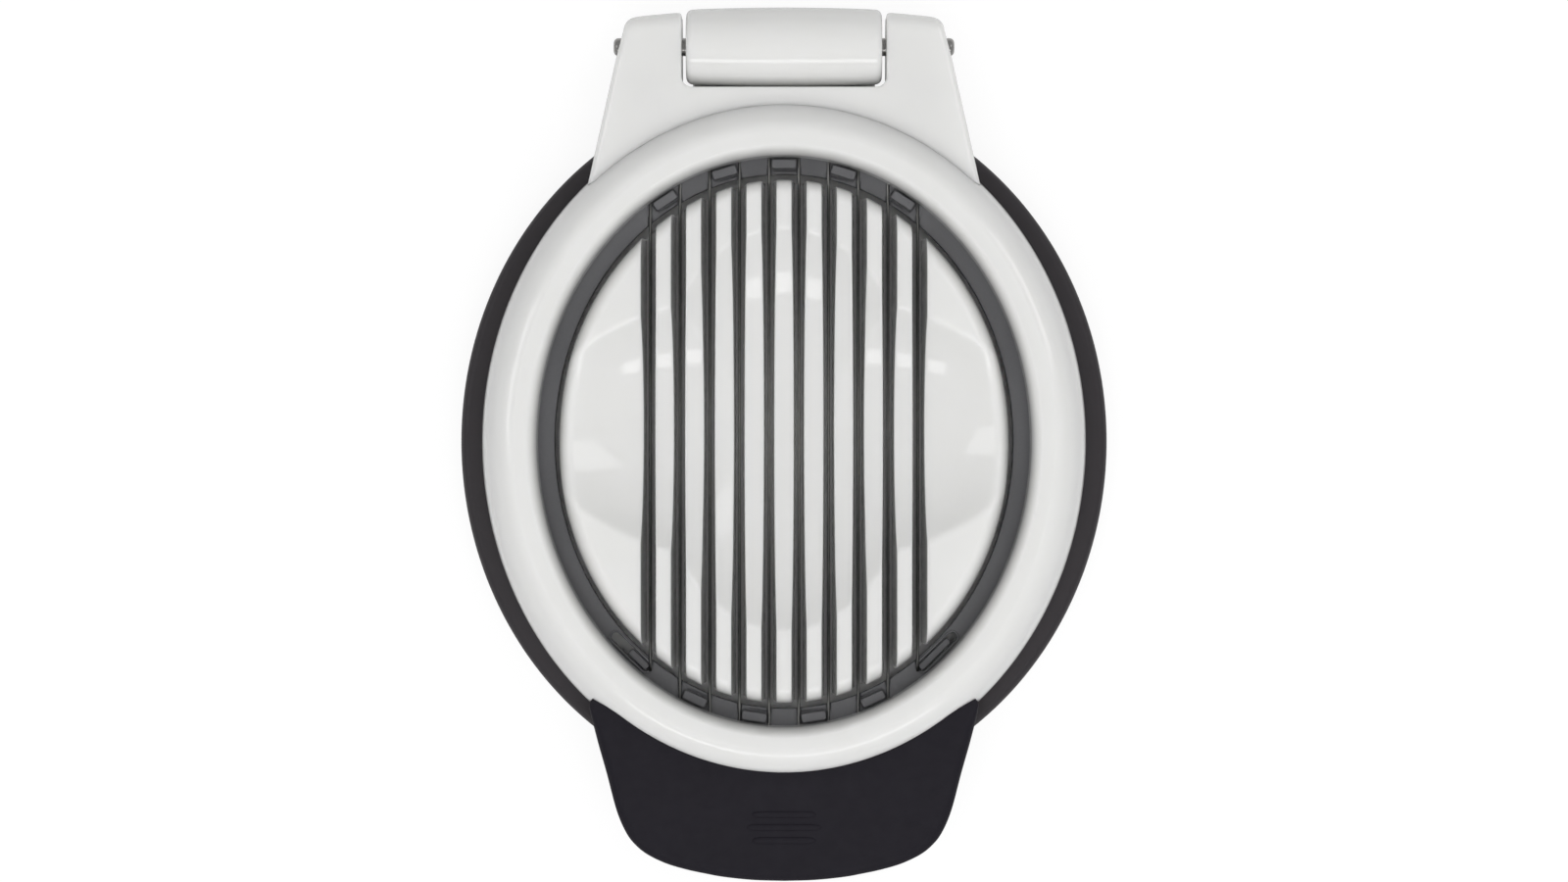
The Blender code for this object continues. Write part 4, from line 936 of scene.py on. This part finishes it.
def bow(start_x, end_x, side):
    """Half a turn behind a post, from one strand to the next."""
    turn = np.linspace(0, math.pi, 15)[1:-1]
    share = (1 - np.cos(turn)) / 2
    start_y, end_y = oval_y(POST_OVAL + 1, start_x), oval_y(POST_OVAL + 1, end_x)
    y = start_y + (end_y - start_y) * share + BOW * np.sin(turn)
    return np.stack((start_x + (end_x - start_x) * share, side * y), axis=1)


path = []
for index, x in enumerate(wire_x):
    side = 1 if index % 2 == 0 else -1
    front = oval_y(POST_OVAL if index in (0, WIRE_COUNT - 1) else POST_OVAL + 1, x)
    back = oval_y(POST_OVAL + 1, x)
    y = np.linspace(-front, back, 40) if side > 0 else np.linspace(back, -front, 40)
    path.append(np.stack((np.full(40, x), y), axis=1))
    if index < WIRE_COUNT - 1:
        path.append(bow(x, wire_x[index + 1], side))
path = np.concatenate(path)
heading = np.gradient(path, axis=0)
heading /= np.linalg.norm(heading, axis=1, keepdims=True)
level = np.stack((-heading[:, 1], heading[:, 0], np.zeros(len(path))), axis=1)
turn = np.linspace(0, 2 * math.pi, 14, endpoint=False)
around = level[:, None] * np.cos(turn)[None, :, None] + np.array((0, 0, 1.0)) * np.sin(turn)[None, :, None]
wire = np.concatenate((path, np.full((len(path), 1), WIRE_Z)), axis=1)[:, None] + WIRE * around
wire_nodes = [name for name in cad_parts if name.startswith(("wire_strand", "wire_loop"))]
wire_mesh = mesh_from("laced_wire", [shell(wire)])
add_piece("laced_wire", wire_mesh, WIRE_STEEL, "cutting_arm", wire_nodes)
print(f"{np.linalg.norm(np.diff(path, axis=0), axis=1).sum():.0f} mm of wire")

# %% [markdown]
# ## Screws
# Pan-head screws hold the tray and the carrier from below. A head is a turned shape whose face dips
# in a cross: the dip is deep near two crossed lines and close to the middle. A Boolean could cut
# the cross, but a formula for the dip keeps the grid whole.

# %% Screws


def screw(node):
    """A pan-head screw that points up, sized by its CAD node."""
    low, high = box_mm(node)
    x, y = (low[:2] + high[:2]) / 2
    head = (high[0] - low[0]) / 2
    shank, head_height = head * 0.55, head * 0.6
    reach = np.linspace(0.01, 1, 12)[:, None]
    angle = np.linspace(0, 2 * math.pi, 48, endpoint=False)[None]
    face_x, face_y = head * 0.8 * reach * np.cos(angle), head * 0.8 * reach * np.sin(angle)
    arm = np.minimum(np.abs(face_x), np.abs(face_y)) / (0.16 * head)
    dip = 0.35 * head * np.clip(1.2 - arm, 0, 1) * np.clip((0.68 - reach) * 8, 0, 1)
    face = np.stack((face_x + x, face_y + y - PLAN_Y, low[2] + 0.02 * head + dip), axis=-1)
    edge = bend((head - 0.2 * head, low[2] + 0.2 * head), 0.2 * head, -80, 0, 6)
    under_head = low[2] + head_height
    side = [(head, under_head), (shank, under_head + 0.05), (shank, high[2] - 0.3), (0.02, high[2])]
    rest = turned(np.concatenate((edge, side)), (x, y - PLAN_Y, 0), "z", 48)
    return np.concatenate((face, rest))


for node in [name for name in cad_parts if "screw" in name]:
    body = "base" if node.startswith("tray") else "cutting_arm"
    screw_mesh = mesh_from(node, [shell(screw(node))])
    add_piece(f"{node}_fine", screw_mesh, SCREW_STEEL, body, [node])

# %% [markdown]
# ## Floor, light and camera
# The floor is white and keeps a soft shadow. Part of its paint glows, for camera rays only, so that
# it looks white and throws no light on the slicer. The light is even: a pale world, two wide
# soft boxes that make no highlight, and three smaller ones that draw the highlights on the barrel
# and the ring.

# %% Floor
floor_mesh = bpy.data.meshes.new("floor")
floor_mesh.from_pydata([(-3, -3, 0), (3, -3, 0), (3, 3, 0), (-3, 3, 0)], [], [(0, 1, 2, 3)])
floor = bpy.data.objects.new("floor", floor_mesh)
floor.location.z = -0.00005
bpy.context.collection.objects.link(floor)
floor_paint = bpy.data.materials.new("white_floor")
floor_paint.use_nodes = True
tree = floor_paint.node_tree
tree.nodes.clear()
to_camera = add_node(tree, "ShaderNodeLightPath").outputs["Is Camera Ray"]
from_below = add_node(tree, "ShaderNodeNewGeometry").outputs["Backfacing"]
matt = add_node(tree, "ShaderNodeBsdfDiffuse", {"Color": colour("F0F0F0")})
glow = add_node(tree, "ShaderNodeEmission", {"Color": (1, 1, 1, 1), "Strength": 1.08})
share = add_node(tree, "ShaderNodeMath", {0: to_camera, 1: 0.8}, operation="MULTIPLY")
lit = add_node(tree, "ShaderNodeMixShader", {0: share.outputs[0], 1: matt.outputs[0], 2: glow.outputs[0]})
clear = add_node(tree, "ShaderNodeBsdfTransparent")
one_sided = add_node(tree, "ShaderNodeMixShader", {0: from_below, 1: lit.outputs[0], 2: clear.outputs[0]})
add_node(tree, "ShaderNodeOutputMaterial", {"Surface": one_sided.outputs[0]})
floor_mesh.materials.append(floor_paint)
print("the floor is", round(floor.location.z / MM, 3), "mm high")

# %% World
world = bpy.data.worlds.new("soft_world")
bpy.context.scene.world = world
world.use_nodes = True
tree = world.node_tree
tree.nodes.clear()
to_camera = add_node(tree, "ShaderNodeLightPath").outputs["Is Camera Ray"]
fill = add_node(tree, "ShaderNodeBackground", {"Color": (1, 1, 1, 1), "Strength": 0.44})
white = add_node(tree, "ShaderNodeBackground", {"Color": (1, 1, 1, 1), "Strength": 1.0})
mix = add_node(tree, "ShaderNodeMixShader", {0: to_camera, 1: fill.outputs[0], 2: white.outputs[0]})
add_node(tree, "ShaderNodeOutputWorld", {"Surface": mix.outputs[0]})
print("the world's fill is", round(fill.inputs["Strength"].default_value, 2))

# %% Soft boxes


def soft_box(name, tilt, heading, distance, size, power, mirrored=True):
    """An area light that looks at the slicer's middle, `tilt` degrees from straight above and
    towards `heading`, counted from +X to +Y. One that isn't mirrored lights, but makes no
    highlight."""
    lamp = bpy.data.lights.new(name, "AREA")
    lamp.shape = "RECTANGLE"
    lamp.size, lamp.size_y = size
    lamp.energy = power
    box = bpy.data.objects.new(name, lamp)
    bpy.context.collection.objects.link(box)
    a, e = math.radians(heading), math.radians(tilt)
    box.location = (
        distance * math.sin(e) * math.cos(a),
        distance * math.sin(e) * math.sin(a),
        distance * math.cos(e),
    )
    box.rotation_euler = (0, e, a)
    box.visible_glossy = mirrored
    print(f"{name}: {power} W")


soft_box("box_above", 12, -90, 0.75, (0.45, 0.45), 1.95, mirrored=False)
soft_box("box_side", 40, 26, 0.9, (0.5, 0.5), 0.6, mirrored=False)
soft_box("box_front", 43, -90, 0.9, (0.16, 0.9), 1.2)
soft_box("box_left", 44, 168, 0.9, (0.3, 0.28), 0.45)
soft_box("box_right", 44, 26, 0.9, (0.3, 0.28), 0.4)

# %% Camera
CAMERA_HEIGHT = 0.766
camera_data = bpy.data.cameras.new("camera")
camera_data.sensor_width = 36
camera_data.lens = 102.7
camera = bpy.data.objects.new("camera", camera_data)
camera.location = (0, (PLAN_Y + 0.05) * MM, CAMERA_HEIGHT)
bpy.context.collection.objects.link(camera)
bpy.context.scene.camera = camera
bpy.context.scene.view_settings.view_transform = "Standard"
print("camera", tuple(round(v, 4) for v in camera.location))
